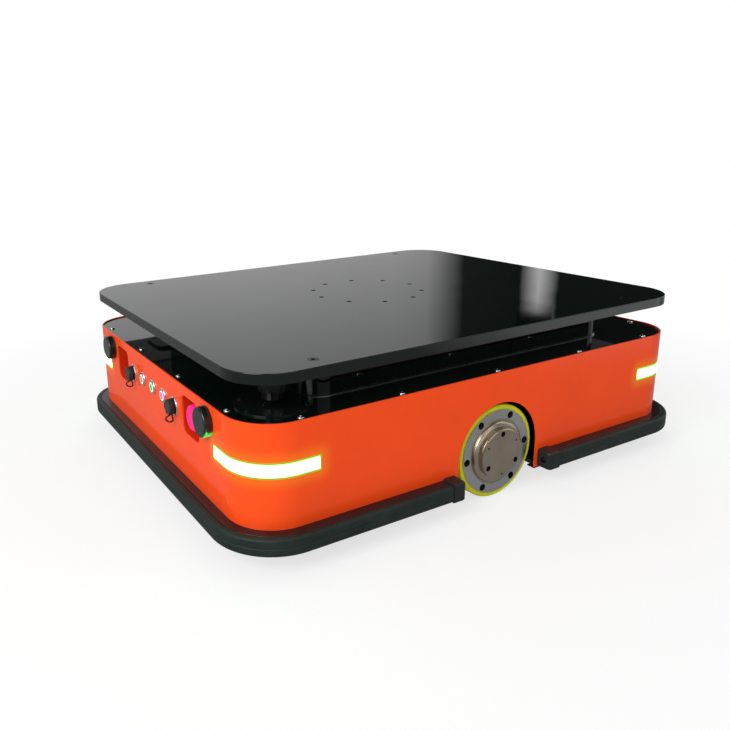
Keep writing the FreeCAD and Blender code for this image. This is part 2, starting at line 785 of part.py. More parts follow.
def make_rim():
    """Aluminium rim with counterbored bolt holes."""
    rim = cylinder(rim_radius, V(0, tyre_inner_face, wheel_radius), V(0, rim_face, wheel_radius))
    cuts = [cylinder(rim_bore, V(0, tyre_inner_face - 1, wheel_radius),
                     V(0, rim_face + 1, wheel_radius))]
    cuts += round_holes(bolt_shank_radius + fit_gap, rim_bolt_pitch_radius, rim_bolt_count,
                        rim_bolt_phase, tyre_inner_face - 1, rim_face + 1)
    cuts += round_holes(counterbore_radius, rim_bolt_pitch_radius, rim_bolt_count,
                        rim_bolt_phase, rim_face - counterbore_depth, rim_face + 1)
    return rim.cut(cuts)


def hub_front():
    """Distances along the axle of the hub's flange face, shoulder and front face."""
    flange = rim_face - fit_gap
    shoulder = flange + hub_dome_radius
    return flange, shoulder, shoulder + hub_face_height


def make_hub_reducer():
    """Turning case of the hub reducer: flange, drum, domed shoulder and front disc."""
    flange, shoulder, face = hub_front()
    bevel = 1.0
    bore = carrier_radius + running_gap
    bore_end = hub_flange_face + carrier_depth + fit_gap
    dome = []
    for step in range(7):
        angle = math.radians(step * 15)
        dome.append((hub_shoulder_radius + hub_dome_radius * math.cos(angle),
                     flange + hub_dome_radius * math.sin(angle)))
    profile = [(0, bore_end), (bore, bore_end), (bore, hub_flange_face),
               (hub_flange_radius, hub_flange_face), (hub_flange_radius, tyre_inner_face),
               (hub_radius, tyre_inner_face), (hub_radius, flange)]
    profile += dome
    profile += [(hub_face_radius, shoulder), (hub_face_radius, face - bevel),
                (hub_face_radius - bevel, face), (0, face)]
    hub = revolve_y(profile, hub_flange_face)
    cuts = round_holes(hub_bore_radius, hub_bolt_pitch_radius, hub_bolt_count, hub_bolt_phase,
                       face - counterbore_depth, face + 1)
    cuts += round_holes(bolt_shank_radius, hub_bolt_pitch_radius, hub_bolt_count,
                        hub_bolt_phase, face - 2 * counterbore_depth, face + 1)
    cuts += round_holes(jack_hole_radius, hub_bolt_pitch_radius, hub_bolt_count,
                        hub_bolt_phase + 180 / hub_bolt_count, face - jack_hole_depth, face + 1)
    cuts += round_holes(bolt_shank_radius, rim_bolt_pitch_radius, rim_bolt_count,
                        rim_bolt_phase, hub_flange_face - 1, tyre_inner_face + 1)
    return hub.cut(cuts)


def socket_screws(head_radius, pitch_radius, count, phase, seat, tip):
    """Socket-head screws along Y with hexagon sockets."""
    screws = []
    for k in range(count):
        angle = math.radians(phase + k * 360 / count)
        x = pitch_radius * math.cos(angle)
        z = wheel_radius + pitch_radius * math.sin(angle)
        top = seat + bolt_head_height
        screw = cylinder(head_radius, V(x, seat, z), V(x, top, z))
        screw = screw.fuse(cylinder(bolt_shank_radius, V(x, tip, z), V(x, seat, z)))
        socket = hex_bar(bolt_shank_radius * 0.9, V(x, top - bolt_head_height / 2, z),
                         V(x, top + 1, z))
        screws.append(screw.cut(socket).removeSplitter())
    return screws


def make_wheel_bolts():
    """Screws that hold the rim to the hub flange, and the three in the hub's face."""
    face = hub_front()[2]
    screws = socket_screws(bolt_head_radius, rim_bolt_pitch_radius, rim_bolt_count,
                           rim_bolt_phase, rim_face - counterbore_depth, hub_flange_face)
    screws += socket_screws(hub_bore_radius - fit_gap, hub_bolt_pitch_radius, hub_bolt_count,
                            hub_bolt_phase, face - counterbore_depth,
                            face - 2 * counterbore_depth)
    return Part.Compound(screws)


def make_drive_bracket():
    """Bracket that carries one drive unit and slides on two posts."""
    centre = V(0, 0, wheel_radius)
    plate = block(-bracket_half_width, bracket_half_width, bracket_back, carrier_root,
                  bracket_bottom, bracket_top)
    upright = edges_at(plate, lambda box: box.YLength > 1)
    shape = plate.makeFillet(bracket_plate_thickness, upright)
    shape = shape.fuse(cylinder(reducer_base_radius, centre + V(0, carrier_root, 0),
                                centre + V(0, carrier_root + reducer_base_thickness, 0)))
    shape = shape.fuse(cylinder(carrier_radius, centre + V(0, carrier_root, 0),
                                centre + V(0, hub_flange_face + carrier_depth, 0)))
    for x in (-post_x, post_x):
        boss = cylinder(post_boss_radius, V(x, post_y, post_boss_bottom),
                        V(x, post_y, post_boss_top))
        web = block(x - post_boss_radius, x + post_boss_radius, post_y, bracket_back,
                    post_boss_bottom, post_boss_top)
        shape = shape.fuse(boss).fuse(web)
    bores = [cylinder(post_radius + running_gap, V(x, post_y, post_boss_bottom - 1),
                      V(x, post_y, post_boss_top + 1)) for x in (-post_x, post_x)]
    return shape.removeSplitter().cut(bores)


def make_drive_motor():
    """Servo motor with its encoder cover, behind the bracket."""
    def section(size, y0, y1):
        shape = slab(size, size, motor_corner, 0, y1 - y0)
        shape.rotate(V(0, 0, 0), X, -90)
        shape.translate(V(0, y0, wheel_radius))
        return shape
    body_end = bracket_back - motor_length
    return section(motor_size, body_end, bracket_back).fuse(
        section(encoder_size, body_end - encoder_length, body_end)).removeSplitter()


def make_suspension_springs():
    """Urethane springs on the posts, between the bracket and the mid plate."""
    springs = []
    for x in (-post_x, post_x):
        low = V(x, post_y, post_boss_top)
        high = V(x, post_y, mid_height)
        tube = cylinder(spring_radius, low, high)
        springs.append(tube.cut(cylinder(post_radius + fit_gap, low, high)))
    return Part.Compound(springs)


def make_suspension_posts():
    """Guide posts of both drive units, between the base plate and the mid plate."""
    posts = [cylinder(post_radius, V(x, sign * post_y, base_top), V(x, sign * post_y, mid_height))
             for sign in (1, -1) for x in (-post_x, post_x)]
    return Part.Compound(posts)


# --- casters -----------------------------------------------------------------------------
def make_caster_mounts():
    """Top plates, races and king pins of the four casters, with their bolts."""
    pieces = []
    plate_low = caster_top - caster_plate_thickness
    race_low = plate_low - caster_race_height
    pin_low = fork_crown_top - fork_sheet - fit_gap
    for sx, sy in corner_signs:
        x = sx * caster_x
        y = sy * caster_y
        shape = slab(caster_plate_size, caster_plate_size, fork_toe_radius, plate_low, caster_top,
                     V(x, y, 0))
        shape = shape.fuse(cylinder(caster_race_radius, V(x, y, race_low), V(x, y, plate_low)))
        shape = shape.fuse(cylinder(caster_pin_radius, V(x, y, pin_low), V(x, y, race_low)))
        shape = shape.fuse(cylinder(caster_pin_radius * 1.6, V(x, y, pin_low - fork_sheet),
                                    V(x, y, pin_low)))
        bolts = []
        for bx, by in caster_bolt_places(sx, sy):
            bolt = hex_bar(caster_bolt_radius * 1.9, V(bx, by, plate_low - caster_bolt_radius * 1.4),
                           V(bx, by, plate_low))
            shank = cylinder(caster_bolt_radius, V(bx, by, plate_low), V(bx, by, tower_top))
            bolts.append(bolt.fuse(shank))
        holes = [cylinder(caster_bolt_radius, V(bx, by, plate_low - 1), V(bx, by, caster_top + 1))
                 for bx, by in caster_bolt_places(sx, sy)]
        pieces.append(shape.removeSplitter().cut(holes))
        pieces += bolts
    return Part.Compound(pieces)


def make_caster_fork(x, y):
    """Swivel fork of one caster and, as a second solid, its axle bolt."""
    axle_x = x - caster_trail
    axle_z = caster_wheel_radius
    crown_low = fork_crown_top - fork_sheet
    half_gap = caster_wheel_width / 2 + fork_side_gap
    crown = cylinder(fork_crown_radius, V(x, y, crown_low), V(x, y, fork_crown_top))
    shape = crown
    for side in (-1, 1):
        inner = y + side * half_gap
        outline = [V(x - fork_crown_radius * 0.85, 0, crown_low),
                   V(x + fork_crown_radius * 0.85, 0, crown_low),
                   V(x + fork_crown_radius * 0.55, 0, crown_low - fork_shoulder),
                   V(axle_x + fork_toe_radius, 0, axle_z), V(axle_x - fork_toe_radius, 0, axle_z),
                   V(x - fork_crown_radius * 0.95, 0, crown_low - fork_shoulder)]
        leg = Part.Face(Part.makePolygon(outline + [outline[0]])).extrude(V(0, fork_sheet, 0))
        start = inner if side > 0 else inner - fork_sheet
        leg.translate(V(0, start, 0))
        toe = cylinder(fork_toe_radius, V(axle_x, start, axle_z), V(axle_x, start + fork_sheet, axle_z))
        shape = shape.fuse(leg).fuse(toe)
    bore = cylinder(caster_pin_radius + running_gap, V(x, y, crown_low - 1),
                    V(x, y, fork_crown_top + 1))
    half = half_gap + fork_sheet
    eye = cylinder(caster_axle_radius, V(axle_x, y - half - 1, axle_z), V(axle_x, y + half + 1, axle_z))
    shape = shape.removeSplitter().cut([bore, eye])
    head = caster_axle_radius * 1.6
    axle = cylinder(caster_axle_radius, V(axle_x, y - half, axle_z), V(axle_x, y + half, axle_z))
    for side in (-1, 1):
        seat = V(axle_x, y + side * half, axle_z)
        axle = axle.fuse(hex_bar(head, seat, seat + V(0, side * caster_bolt_head, 0)))
    return Part.Compound([shape, axle])


def make_caster_wheel(x, y):
    """Caster wheel: a moulded core and, as a second solid, its tread."""
    axle_x = x - caster_trail
    half = caster_wheel_width / 2
    left = V(axle_x, y - half, caster_wheel_radius)
    right = V(axle_x, y + half, caster_wheel_radius)
    core_radius = caster_wheel_radius - caster_tread
    tread = cylinder(caster_wheel_radius, left, right)
    tread = tread.makeFillet(caster_tread / 2, edges_at(tread, lambda box: box.YLength < 0.1))
    tread = tread.cut(cylinder(core_radius, left, right))
    core = cylinder(core_radius, left, right)
    dish = half * 0.6
    hub = caster_axle_radius * 2.4
    for start in (left, right - V(0, dish, 0)):
        ring = cylinder(core_radius - caster_tread / 2, start, start + V(0, dish, 0))
        core = core.cut(ring.cut(cylinder(hub, start, start + V(0, dish, 0))))
    core = core.cut(cylinder(caster_axle_radius + running_gap, left, right))
    hub_ends = []
    for start, side in ((left, -1), (right, 1)):
        spacer = cylinder(hub * 0.8, start, start + V(0, side * (fork_side_gap - fit_gap), 0))
        bore = cylinder(caster_axle_radius + running_gap, start - V(0, 1, 0) * half,
                        start + V(0, 1, 0) * half)
        hub_ends.append(spacer.cut(bore))
    core = core.fuse(hub_ends).removeSplitter()
    return Part.Compound([core, tread])


# --- control panel -----------------------------------------------------------------------
def along_x(radius, x0, x1, y, z):
    """Round bar along X on the control panel."""
    return cylinder(radius, V(x0, y, z), V(x1, y, z))


def recess_back():
    """Plane of the inner back face of the two recesses."""
    return end_plane + recess_depth


def make_recess_cups():
    """Pressed cups behind the two square openings of the panel."""
    cups = []
    front = end_plane + sheet
    for sign in (-1, 1):
        y = sign * recess_y
        outer = panel_prism(y, recess_z, recess_width + 2 * recess_wall,
                            recess_height + 2 * recess_wall, recess_corner_radius + recess_wall,
                            front, recess_back() + recess_wall)
        lip = panel_prism(y, recess_z, recess_width + 2 * recess_lip,
                          recess_height + 2 * recess_lip, recess_corner_radius + recess_lip,
                          front, front + recess_wall)
        hollow = panel_prism(y, recess_z, recess_width, recess_height, recess_corner_radius,
                             front - 1, recess_back())
        hole = along_x(panel_hole_radius, front, recess_back() + recess_wall + 1, y, recess_z)
        cups.append(outer.fuse(lip).cut([hollow, hole]))
    return Part.Compound(cups)


def switch_body(y, collar_radius, collar_height, bore_radius):
    """Collar, thread and contact block of a switch fixed in the back of a recess."""
    back = recess_back() + recess_wall
    shape = along_x(collar_radius, recess_back() - collar_height, recess_back(), y, recess_z)
    shape = shape.fuse(along_x(panel_hole_radius - fit_gap, recess_back(), back, y, recess_z))
    half = contact_block_size / 2
    shape = shape.fuse(block(back, back + contact_block_depth, y - half, y + half,
                             recess_z - half, recess_z + half))
    bore_end = back + contact_block_depth - collar_height
    bore = along_x(bore_radius, recess_back() - collar_height - 1, bore_end, y, recess_z)
    return shape.removeSplitter().cut(bore)


def make_estop_stem():
    """Plunger of the emergency stop, which slides in its body."""
    tip = end_plane + estop_head_height - fit_gap - estop_socket_depth
    end = recess_back() + recess_wall + contact_block_depth - 2 * estop_collar_height
    return along_x(estop_stem_radius, tip, end, -recess_y, recess_z)


def make_estop_head():
    """Mushroom head with a rounded face, flush with the panel; it turns on the plunger."""
    head = along_x(estop_head_radius, end_plane, end_plane + estop_head_height, -recess_y, recess_z)
    front = edges_at(head, lambda box: box.XMax < end_plane + 0.1)
    head = head.makeFillet(estop_head_height * 0.45, front)
    back = edges_at(head, lambda box: box.XMin > end_plane + estop_head_height - 0.1)
    head = head.makeFillet(estop_head_height * 0.2, back)
    neck_end = recess_back() - estop_collar_height - estop_travel - fit_gap
    head = head.fuse(along_x(estop_neck_radius, end_plane + estop_head_height - 1, neck_end,
                             -recess_y, recess_z))
    tip = end_plane + estop_head_height - estop_socket_depth - 2 * fit_gap
    bore = along_x(estop_stem_radius + running_gap, tip, neck_end + 1, -recess_y, recess_z)
    return head.removeSplitter().cut(bore)


def make_power_knob():
    """Selector knob with a raised grip, on a shaft in its switch body."""
    front = recess_back() - estop_collar_height
    disc = along_x(knob_radius, front - fit_gap - knob_height, front - fit_gap, recess_y, recess_z)
    grip_tip = front - fit_gap - knob_height - knob_grip_height
    grip = block(grip_tip, front - fit_gap - knob_height, recess_y - knob_grip_width / 2,
                 recess_y + knob_grip_width / 2, recess_z - knob_radius * 0.85,
                 recess_z + knob_radius * 0.85)
    ends = edges_at(grip, lambda box: box.YLength > 1 and box.XLength < 0.1 and box.XMax < grip_tip + 0.1)
    grip = grip.makeFillet(knob_grip_height * 0.6, ends)
    shaft = along_x(knob_shaft_radius, front - fit_gap, recess_back() + contact_block_depth / 2,
                    recess_y, recess_z)
    return disc.fuse(grip).fuse(shaft).removeSplitter()


def make_button_bezels():
    """Bezels and threaded barrels of the three push buttons."""
    bezels = []
    for y in button_y:
        bezel = along_x(button_bezel_radius, end_plane - button_bezel_proud, end_plane, y, button_z)
        front = edges_at(bezel, lambda box: box.XMax < end_plane - button_bezel_proud + 0.1)
        bezel = bezel.makeChamfer(button_bezel_proud / 3, front)
        barrel = along_x(button_thread_radius, end_plane, end_plane + button_depth, y, button_z)
        bore = along_x(button_cap_radius + running_gap, end_plane - button_bezel_proud - 1,
                       end_plane + button_depth - sheet, y, button_z)
        bezels.append(bezel.fuse(barrel).removeSplitter().cut(bore))
    return Part.Compound(bezels)


def make_button_cap(y):
    """Push button that slides in its barrel."""
    front = end_plane - button_bezel_proud - button_cap_proud
    end = end_plane + button_depth - sheet - button_travel - fit_gap
    cap = along_x(button_cap_radius, front, end, y, button_z)
    rim = edges_at(cap, lambda box: box.XMax < front + 0.1)
    return cap.makeFillet(button_cap_proud * 0.7, rim)


def make_connector_sockets():
    """Round metal sockets of the charging and data connectors."""
    sockets = []
    for sign in (-1, 1):
        y = sign * socket_y
        ring = along_x(socket_ring_radius, end_plane - socket_ring_proud, end_plane, y, socket_z)
        front = edges_at(ring, lambda box: box.XMax < end_plane - socket_ring_proud + 0.1)
        ring = ring.makeChamfer(socket_ring_proud / 3, front)
        barrel = along_x(socket_barrel_radius, end_plane - socket_barrel_proud,
                         end_plane + socket_depth, y, socket_z)
        mouth = along_x(socket_barrel_radius * 0.75, end_plane - socket_barrel_proud - 1,
                        end_plane, y, socket_z)
        sockets.append(ring.fuse(barrel).removeSplitter().cut(mouth))
    return Part.Compound(sockets)


def socket_cap_back():
    """Plane of the open end of the connector caps."""
    return end_plane - socket_ring_proud - socket_cap_gap


def make_connector_cap(sign):
    """Dust cap that turns on the socket's barrel."""
    y = sign * socket_y
    back = socket_cap_back()
    front = end_plane - socket_barrel_proud - socket_cap_gap - sheet
    cap = along_x(socket_cap_radius, front, back, y, socket_z)
    rim = edges_at(cap, lambda box: box.XMax < front + 0.1)
    cap = cap.makeFillet(sheet / 2, rim)
    groove = along_x(socket_cap_radius + 1, back - tether_collar - 2 * fit_gap, back, y, socket_z)
    neck = along_x(socket_cap_radius - tether_collar, back - tether_collar - 2 * fit_gap, back,
                   y, socket_z)
    mouth = along_x(socket_barrel_radius + running_gap, end_plane - socket_barrel_proud - socket_cap_gap,
                    back + 1, y, socket_z)
    return cap.cut([groove.cut(neck), mouth])


def make_cap_tethers():
    """Rubber tethers: a collar in the cap's groove and a loop that hangs below it."""
    tethers = []
    back = socket_cap_back() - fit_gap
    middle = back - tether_collar / 2
    collar_radius = socket_cap_radius - tether_collar + fit_gap
    for sign in (-1, 1):
        y = sign * socket_y
        collar = along_x(collar_radius + tether_collar, back - tether_collar, back, y, socket_z)
        collar = collar.cut(along_x(collar_radius, back - tether_collar - 1, back + 1, y, socket_z))
        low = socket_z - collar_radius - tether_collar - tether_loop_radius
        loop = Part.makeTorus(tether_loop_radius, tether_radius, V(middle, y, low), X)
        tethers.append(collar.fuse(loop).removeSplitter())
    return Part.Compound(tethers)


def make_antennas():
    """Puck antennas on the panel, each with a stud and nut behind the sheet."""
    pucks = []
    for sign in (-1, 1):
        y = sign * antenna_y
        front = end_plane - antenna_height
        puck = along_x(antenna_radius, front, end_plane, y, antenna_z)
        rim = edges_at(puck, lambda box: box.XMax < front + 0.1)
        puck = puck.makeFillet(antenna_round, rim)
        inside = end_plane + sheet
        stud = along_x(antenna_stud_radius, end_plane, inside + antenna_nut_height, y, antenna_z)
        nut = hex_bar(antenna_nut_radius, V(inside, y, antenna_z),
                      V(inside + antenna_nut_height, y, antenna_z))
        pucks.append(puck.fuse(stud).fuse(nut).removeSplitter())
    return Part.Compound(pucks)


# --- laser scanners ----------------------------------------------------------------------
def scanner_levels():
    """Heights of the scanner's flange top, foot top, window top and cap top."""
    flange = deck_top + scanner_flange_thickness
    foot = flange + scanner_foot_height
    window = foot + scanner_window_height
    return flange, foot, window, window + scanner_cap_height


def make_scanner_housings():
    """Scanner bodies let into the deck, and the caps over their windows."""
    flange, foot, window, cap_top = scanner_levels()
    pieces = []
    seal = 2 * (fit_gap + seal_width + fit_gap)
    riser_zone = slab(riser_length + seal, riser_width + seal, riser_corner_radius + seal / 2,
                      deck_top - 1, flange + 1)
    for x, y in scanner_places:
        body = cylinder(scanner_body_radius, V(x, y, scanner_body_bottom), V(x, y, deck_top))
        collar = cylinder(scanner_flange_radius, V(x, y, deck_top), V(x, y, flange))
        body = body.fuse(collar.cut(riser_zone))
        body = body.fuse(Part.makeCone(scanner_foot_radius, scanner_window_base_radius,
                                       foot - flange, V(x, y, flange)))
        body = body.fuse(cylinder(scanner_shaft_radius, V(x, y, foot), V(x, y, window)))
        outward = math.degrees(math.atan2(math.copysign(1, y), math.copysign(1, x)))
        for turn in scanner_screw_turns:
            angle = math.radians(outward + turn)
            sx = x + scanner_screw_pitch_radius * math.cos(angle)
            sy = y + scanner_screw_pitch_radius * math.sin(angle)
            body = body.fuse(cylinder(body_screw_head_radius * 0.8, V(sx, sy, flange),
                                      V(sx, sy, flange + body_screw_head_height * 0.8)))
        cap = cylinder(scanner_cap_radius, V(x, y, window), V(x, y, cap_top))
        rim = edges_at(cap, lambda box: box.ZMin > cap_top - 0.1)
        pieces.append(body.removeSplitter())
        pieces.append(cap.makeFillet(scanner_window_wall, rim))
    return Part.Compound(pieces)


def make_scanner_windows():
    """Dark tapered windows that the laser looks through."""
    flange, foot, window, cap_top = scanner_levels()
    pieces = []
    for x, y in scanner_places:
        outer = Part.makeCone(scanner_window_base_radius, scanner_window_top_radius,
                              window - foot, V(x, y, foot))
        inner = Part.makeCone(scanner_window_base_radius - scanner_window_wall,
                              scanner_window_top_radius - scanner_window_wall,
                              window - foot, V(x, y, foot))
        pieces.append(outer.cut(inner))
    return Part.Compound(pieces)


def make_scanner_rotor(x, y):
    """Spinning mirror drum of a scanner, with its slanted mirror face."""
    flange, foot, window, cap_top = scanner_levels()
    low = foot + fit_gap
    high = window - fit_gap
    drum = cylinder(scanner_rotor_radius, V(x, y, low), V(x, y, high))
    wedge = Part.makeBox(4 * scanner_rotor_radius, 4 * scanner_rotor_radius,
                         2 * scanner_rotor_radius)
    wedge.translate(V(-2 * scanner_rotor_radius, -2 * scanner_rotor_radius, 0))
    wedge.rotate(V(0, 0, 0), Y, 45)
    wedge.translate(V(x + scanner_rotor_radius * 0.75, y, (low + high) / 2))
    drum = drum.cut(wedge)
    return drum.cut(cylinder(scanner_shaft_radius + running_gap, V(x, y, low - 1), V(x, y, high + 1)))


# --- export ------------------------------------------------------------------------------
def all_nodes():
    """Name and shape of every node."""
    nodes = {
        "shell": make_shell(),
        "deck": make_deck(),
        "body_screws": make_body_screws(),
        "top_plate": make_top_plate(),
        "top_plate_screws": make_top_plate_screws(),
        "base_plate": make_base_plate(),
        "caster_towers": make_caster_towers(),
        "mid_plate": make_mid_plate(),
        "riser_frame": make_riser_frame(),
        "riser_seal": make_riser_seal(),
        "battery": make_battery(),
        "drive_controller": make_drive_controller(),
        "led_diffusers": make_led_diffusers(),
        "led_boards": make_led_boards(),
        "bumper_rails": make_bumper_rails(),
        "bumper_rubbers": make_bumper_rubbers(),
        "bumper_caps": make_bumper_caps(),
        "suspension_posts": make_suspension_posts(),
        "caster_mounts": make_caster_mounts(),
        "recess_cups": make_recess_cups(),
        "estop_body": switch_body(-recess_y, estop_collar_radius, estop_collar_height,
                                  estop_stem_radius + running_gap),
        "estop_stem": make_estop_stem(),
        "estop_head": make_estop_head(),
        "power_switch_body": switch_body(recess_y, estop_collar_radius, estop_collar_height,
                                         knob_shaft_radius + running_gap),
        "power_switch_knob": make_power_knob(),
        "button_bezels": make_button_bezels(),
        "connector_sockets": make_connector_sockets(),
        "cap_tethers": make_cap_tethers(),
        "antennas": make_antennas(),
        "scanner_housings": make_scanner_housings(),
        "scanner_windows": make_scanner_windows(),
    }
    for name, y in zip(button_names, button_y):
        nodes["button_" + name] = make_button_cap(y)
    for sign, side in ((1, "left"), (-1, "right")):
        nodes["connector_cap_" + side] = make_connector_cap(sign)
        nodes["drive_tyre_" + side] = side_of(make_tyre(), sign)
        nodes["drive_rim_" + side] = side_of(make_rim(), sign)
        nodes["hub_reducer_" + side] = side_of(make_hub_reducer(), sign)
        nodes["wheel_bolts_" + side] = side_of(make_wheel_bolts(), sign)
        nodes["drive_bracket_" + side] = side_of(make_drive_bracket(), sign)
        nodes["drive_motor_" + side] = side_of(make_drive_motor(), sign)
        nodes["suspension_springs_" + side] = side_of(make_suspension_springs(), sign)
    for (x, y), place in zip(scanner_places, ("rear_right", "front_left")):
        nodes["scanner_rotor_" + place] = make_scanner_rotor(x, y)
    for signs, place in corner_names.items():
        x = signs[0] * caster_x
        y = signs[1] * caster_y
        nodes["caster_fork_" + place] = make_caster_fork(x, y)
        nodes["caster_wheel_" + place] = make_caster_wheel(x, y)
    return nodes


os.makedirs("parts", exist_ok=True)
for node, shape in all_nodes().items():
    shape.exportStep("parts/" + node + ".step")
    print(node, len(shape.Solids), "solids", "valid" if shape.isValid() else "NOT VALID",
          round(shape.Volume / 1000, 1), "cm3")
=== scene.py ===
# %% [markdown]
# # A low mobile robot with a load plate
# This lesson dresses a finished engineering model.  The solid parts come ready made, each in its
# real place.  We give every surface the finish that the real one has, and build in Blender the
# pieces whose looks depend on fine shape: rubber, screws, knobs, wheels and buttons.

import math

import bmesh
import bpy
from mathutils import Matrix, Vector


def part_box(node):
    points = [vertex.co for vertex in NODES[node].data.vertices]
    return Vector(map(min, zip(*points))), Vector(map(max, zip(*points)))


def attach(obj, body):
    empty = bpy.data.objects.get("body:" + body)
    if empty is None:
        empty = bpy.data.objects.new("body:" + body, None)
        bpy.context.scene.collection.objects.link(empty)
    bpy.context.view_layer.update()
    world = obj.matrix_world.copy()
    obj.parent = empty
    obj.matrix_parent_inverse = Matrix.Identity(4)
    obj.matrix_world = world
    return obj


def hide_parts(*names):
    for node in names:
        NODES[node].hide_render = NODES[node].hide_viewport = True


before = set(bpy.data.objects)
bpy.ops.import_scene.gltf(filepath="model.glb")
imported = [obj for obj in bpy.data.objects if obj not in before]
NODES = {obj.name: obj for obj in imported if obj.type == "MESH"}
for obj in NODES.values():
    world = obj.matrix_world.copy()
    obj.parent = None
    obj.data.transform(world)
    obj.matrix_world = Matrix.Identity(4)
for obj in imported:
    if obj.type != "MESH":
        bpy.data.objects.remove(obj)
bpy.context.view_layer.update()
scene = bpy.context.scene

# %% [markdown]
# ## Colour and nodes
# Colours are written as the hex values that a painter would pick on screen, and one function
# turns them to the linear light that the renderer works in.  One function adds a node, sets it
# and links it.  It serves shader trees and geometry trees alike, so that each finish and each
# rule below reads as a short list.

# %% Colour and node helpers
MM = 0.001
PREFIX = {"SHADER": "ShaderNode", "GEOMETRY": "GeometryNode"}


def srgb(code):
    """Linear RGBA from an sRGB hex code such as 'F04B18'."""
    levels = [int(code[i:i + 2], 16) / 255 for i in (0, 2, 4)]
    return tuple(c / 12.92 if c <= 0.04045 else ((c + 0.055) / 1.055) ** 2.4
                 for c in levels) + (1.0,)


def add(tree, kind, inputs=None, **settings):
    """Add a node, set its properties, and fill or link its inputs.

    The kind may leave out the tree's own prefix.  An input is a value, a socket, or another
    node, which stands for its first output.
    """
    node = tree.nodes.new(kind if "Node" in kind else PREFIX[tree.type] + kind)
    for key, value in settings.items():
        setattr(node, key, value)
    for key, value in (inputs or {}).items():
        if isinstance(value, bpy.types.Node):
            value = value.outputs[0]
        if isinstance(value, bpy.types.NodeSocket):
            tree.links.new(value, node.inputs[key])
        else:
            node.inputs[key].default_value = value
    return node


def empty_material(name):
    """A material, its empty tree and its Object coordinates."""
    material = bpy.data.materials.new(name)
    material.use_nodes = True
    tree = material.node_tree
    tree.nodes.clear()
    return material, tree, add(tree, "TexCoord").outputs["Object"]


def opened(material):
    """The tree of a finish, with its Object coordinates, its grain and its shader."""
    kinds = {node.type: node for node in material.node_tree.nodes}
    return (material.node_tree, kinds["TEX_COORD"].outputs["Object"], kinds["BUMP"],
            kinds["BSDF_PRINCIPLED"])


def blend_colour(tree, factor, low, high, start=0.35, end=0.75):
    """A ramp that goes from one colour to another as a factor rises."""
    ramp = add(tree, "ValToRGB", {"Fac": factor})
    first, last = ramp.color_ramp.elements
    first.position, first.color = start, low
    last.position, last.color = end, high
    return ramp


# %% [markdown]
# ## Painted, moulded and cast surfaces
# Most real surfaces differ in four things: colour, gloss, the size of their grain, and how
# uneven they are.  One function builds that kind of surface.  The grain is a noise whose scale
# comes from a size in millimetres, and it drives a little bump.  A broad noise moves the
# roughness and the colour slightly, as handling, dust and moulding do.

# %% The general finish
def finish(name, colour, roughness, grain_mm=1.0, bump=0.03, uneven=0.12, shade=0.9,
           patch_mm=60.0, specular=0.5, glow=None, **principled):
    """Painted, moulded, cast or plated surface with grain and slight unevenness.

    A glow is a colour and a power.
    """
    material, tree, place = empty_material(name)
    patch = add(tree, "TexNoise", {"Vector": place, "Scale": 1 / (patch_mm * MM), "Detail": 3.0})
    rough = add(tree, "MapRange", {
        "Value": patch, "From Min": 0.3, "From Max": 0.7,
        "To Min": roughness * (1 - uneven), "To Max": roughness * (1 + uneven)})
    base = srgb(colour)
    worn = tuple(c * shade for c in base[:3]) + (1.0,)
    grain = add(tree, "TexNoise", {"Vector": place, "Scale": 1 / (grain_mm * MM), "Detail": 2.0})
    relief = add(tree, "Bump", {"Height": grain, "Strength": bump, "Distance": grain_mm * MM})
    inputs = {"Base Color": blend_colour(tree, patch, base, worn), "Roughness": rough,
              "Normal": relief, "Specular IOR Level": specular}
    if glow:
        inputs.update({"Emission Color": srgb(glow[0]), "Emission Strength": glow[1]})
    inputs.update({key.replace("_", " "): value for key, value in principled.items()})
    shader = add(tree, "BsdfPrincipled", inputs)
    add(tree, "OutputMaterial", {"Surface": shader})
    return material


# Powder coat and stove enamel are smooth and closed.  Moulded plastic has a fine spark texture.
# Rubber scatters light and hardly mirrors, so its specular level is low.
black_satin = finish("Black powder coat, satin", "1B1D1E", 0.42, grain_mm=0.8, bump=0.08,
                     specular=0.35)
rubber = finish("Nitrile rubber, fine grain", "18221F", 0.5, grain_mm=0.7, bump=0.12, shade=1.5,
                patch_mm=35, specular=0.22)
cap_plastic = finish("Glass-filled nylon, moulded", "191D1E", 0.42, grain_mm=0.6, bump=0.1,
                     shade=1.3, specular=0.3)
tyre_skin = finish("Cast polyurethane, yellow", "CBCB00", 0.34, grain_mm=1.4, bump=0.05,
                   shade=0.82, patch_mm=28, specular=0.35)
motor_black = finish("Black motor lacquer", "1A1B1D", 0.3, grain_mm=0.6, bump=0.05)
urethane = finish("Urethane, cast grey", "3A3D3E", 0.5, specular=0.3)
caster_nylon = finish("Nylon core, moulded grey", "5A5E60", 0.45, grain_mm=0.6, bump=0.08)
caster_tread = finish("Thermoplastic rubber tread", "1D1F20", 0.55, grain_mm=0.5, bump=0.1,
                      shade=1.6, patch_mm=20, specular=0.25)
switch_black = finish("Black polyamide", "131517", 0.38, grain_mm=0.5, bump=0.06, specular=0.35)
dust_cap = finish("Black polyamide, moulded cap", "2B2D2C", 0.34, grain_mm=0.5, specular=0.4)
tether_rubber = finish("Black rubber, moulded strap", "0E0C0D", 0.45, specular=0.3)
antenna_shell = finish("ABS, fine spark texture", "151D1A", 0.14, grain_mm=0.7, bump=0.02,
                       shade=1.1, patch_mm=18)
scanner_black = finish("Scanner casing, black lacquer", "0C1411", 0.2, specular=0.25)
scanner_glass = finish("Infrared window, dark acrylic", "10110F", 0.06, Coat_Weight=0.4)
battery_case = finish("Battery case, grey lacquer", "4A4F53", 0.4, grain_mm=1.2, bump=0.06)
lamp_board = finish("White solder resist", "E6E8E2", 0.5)
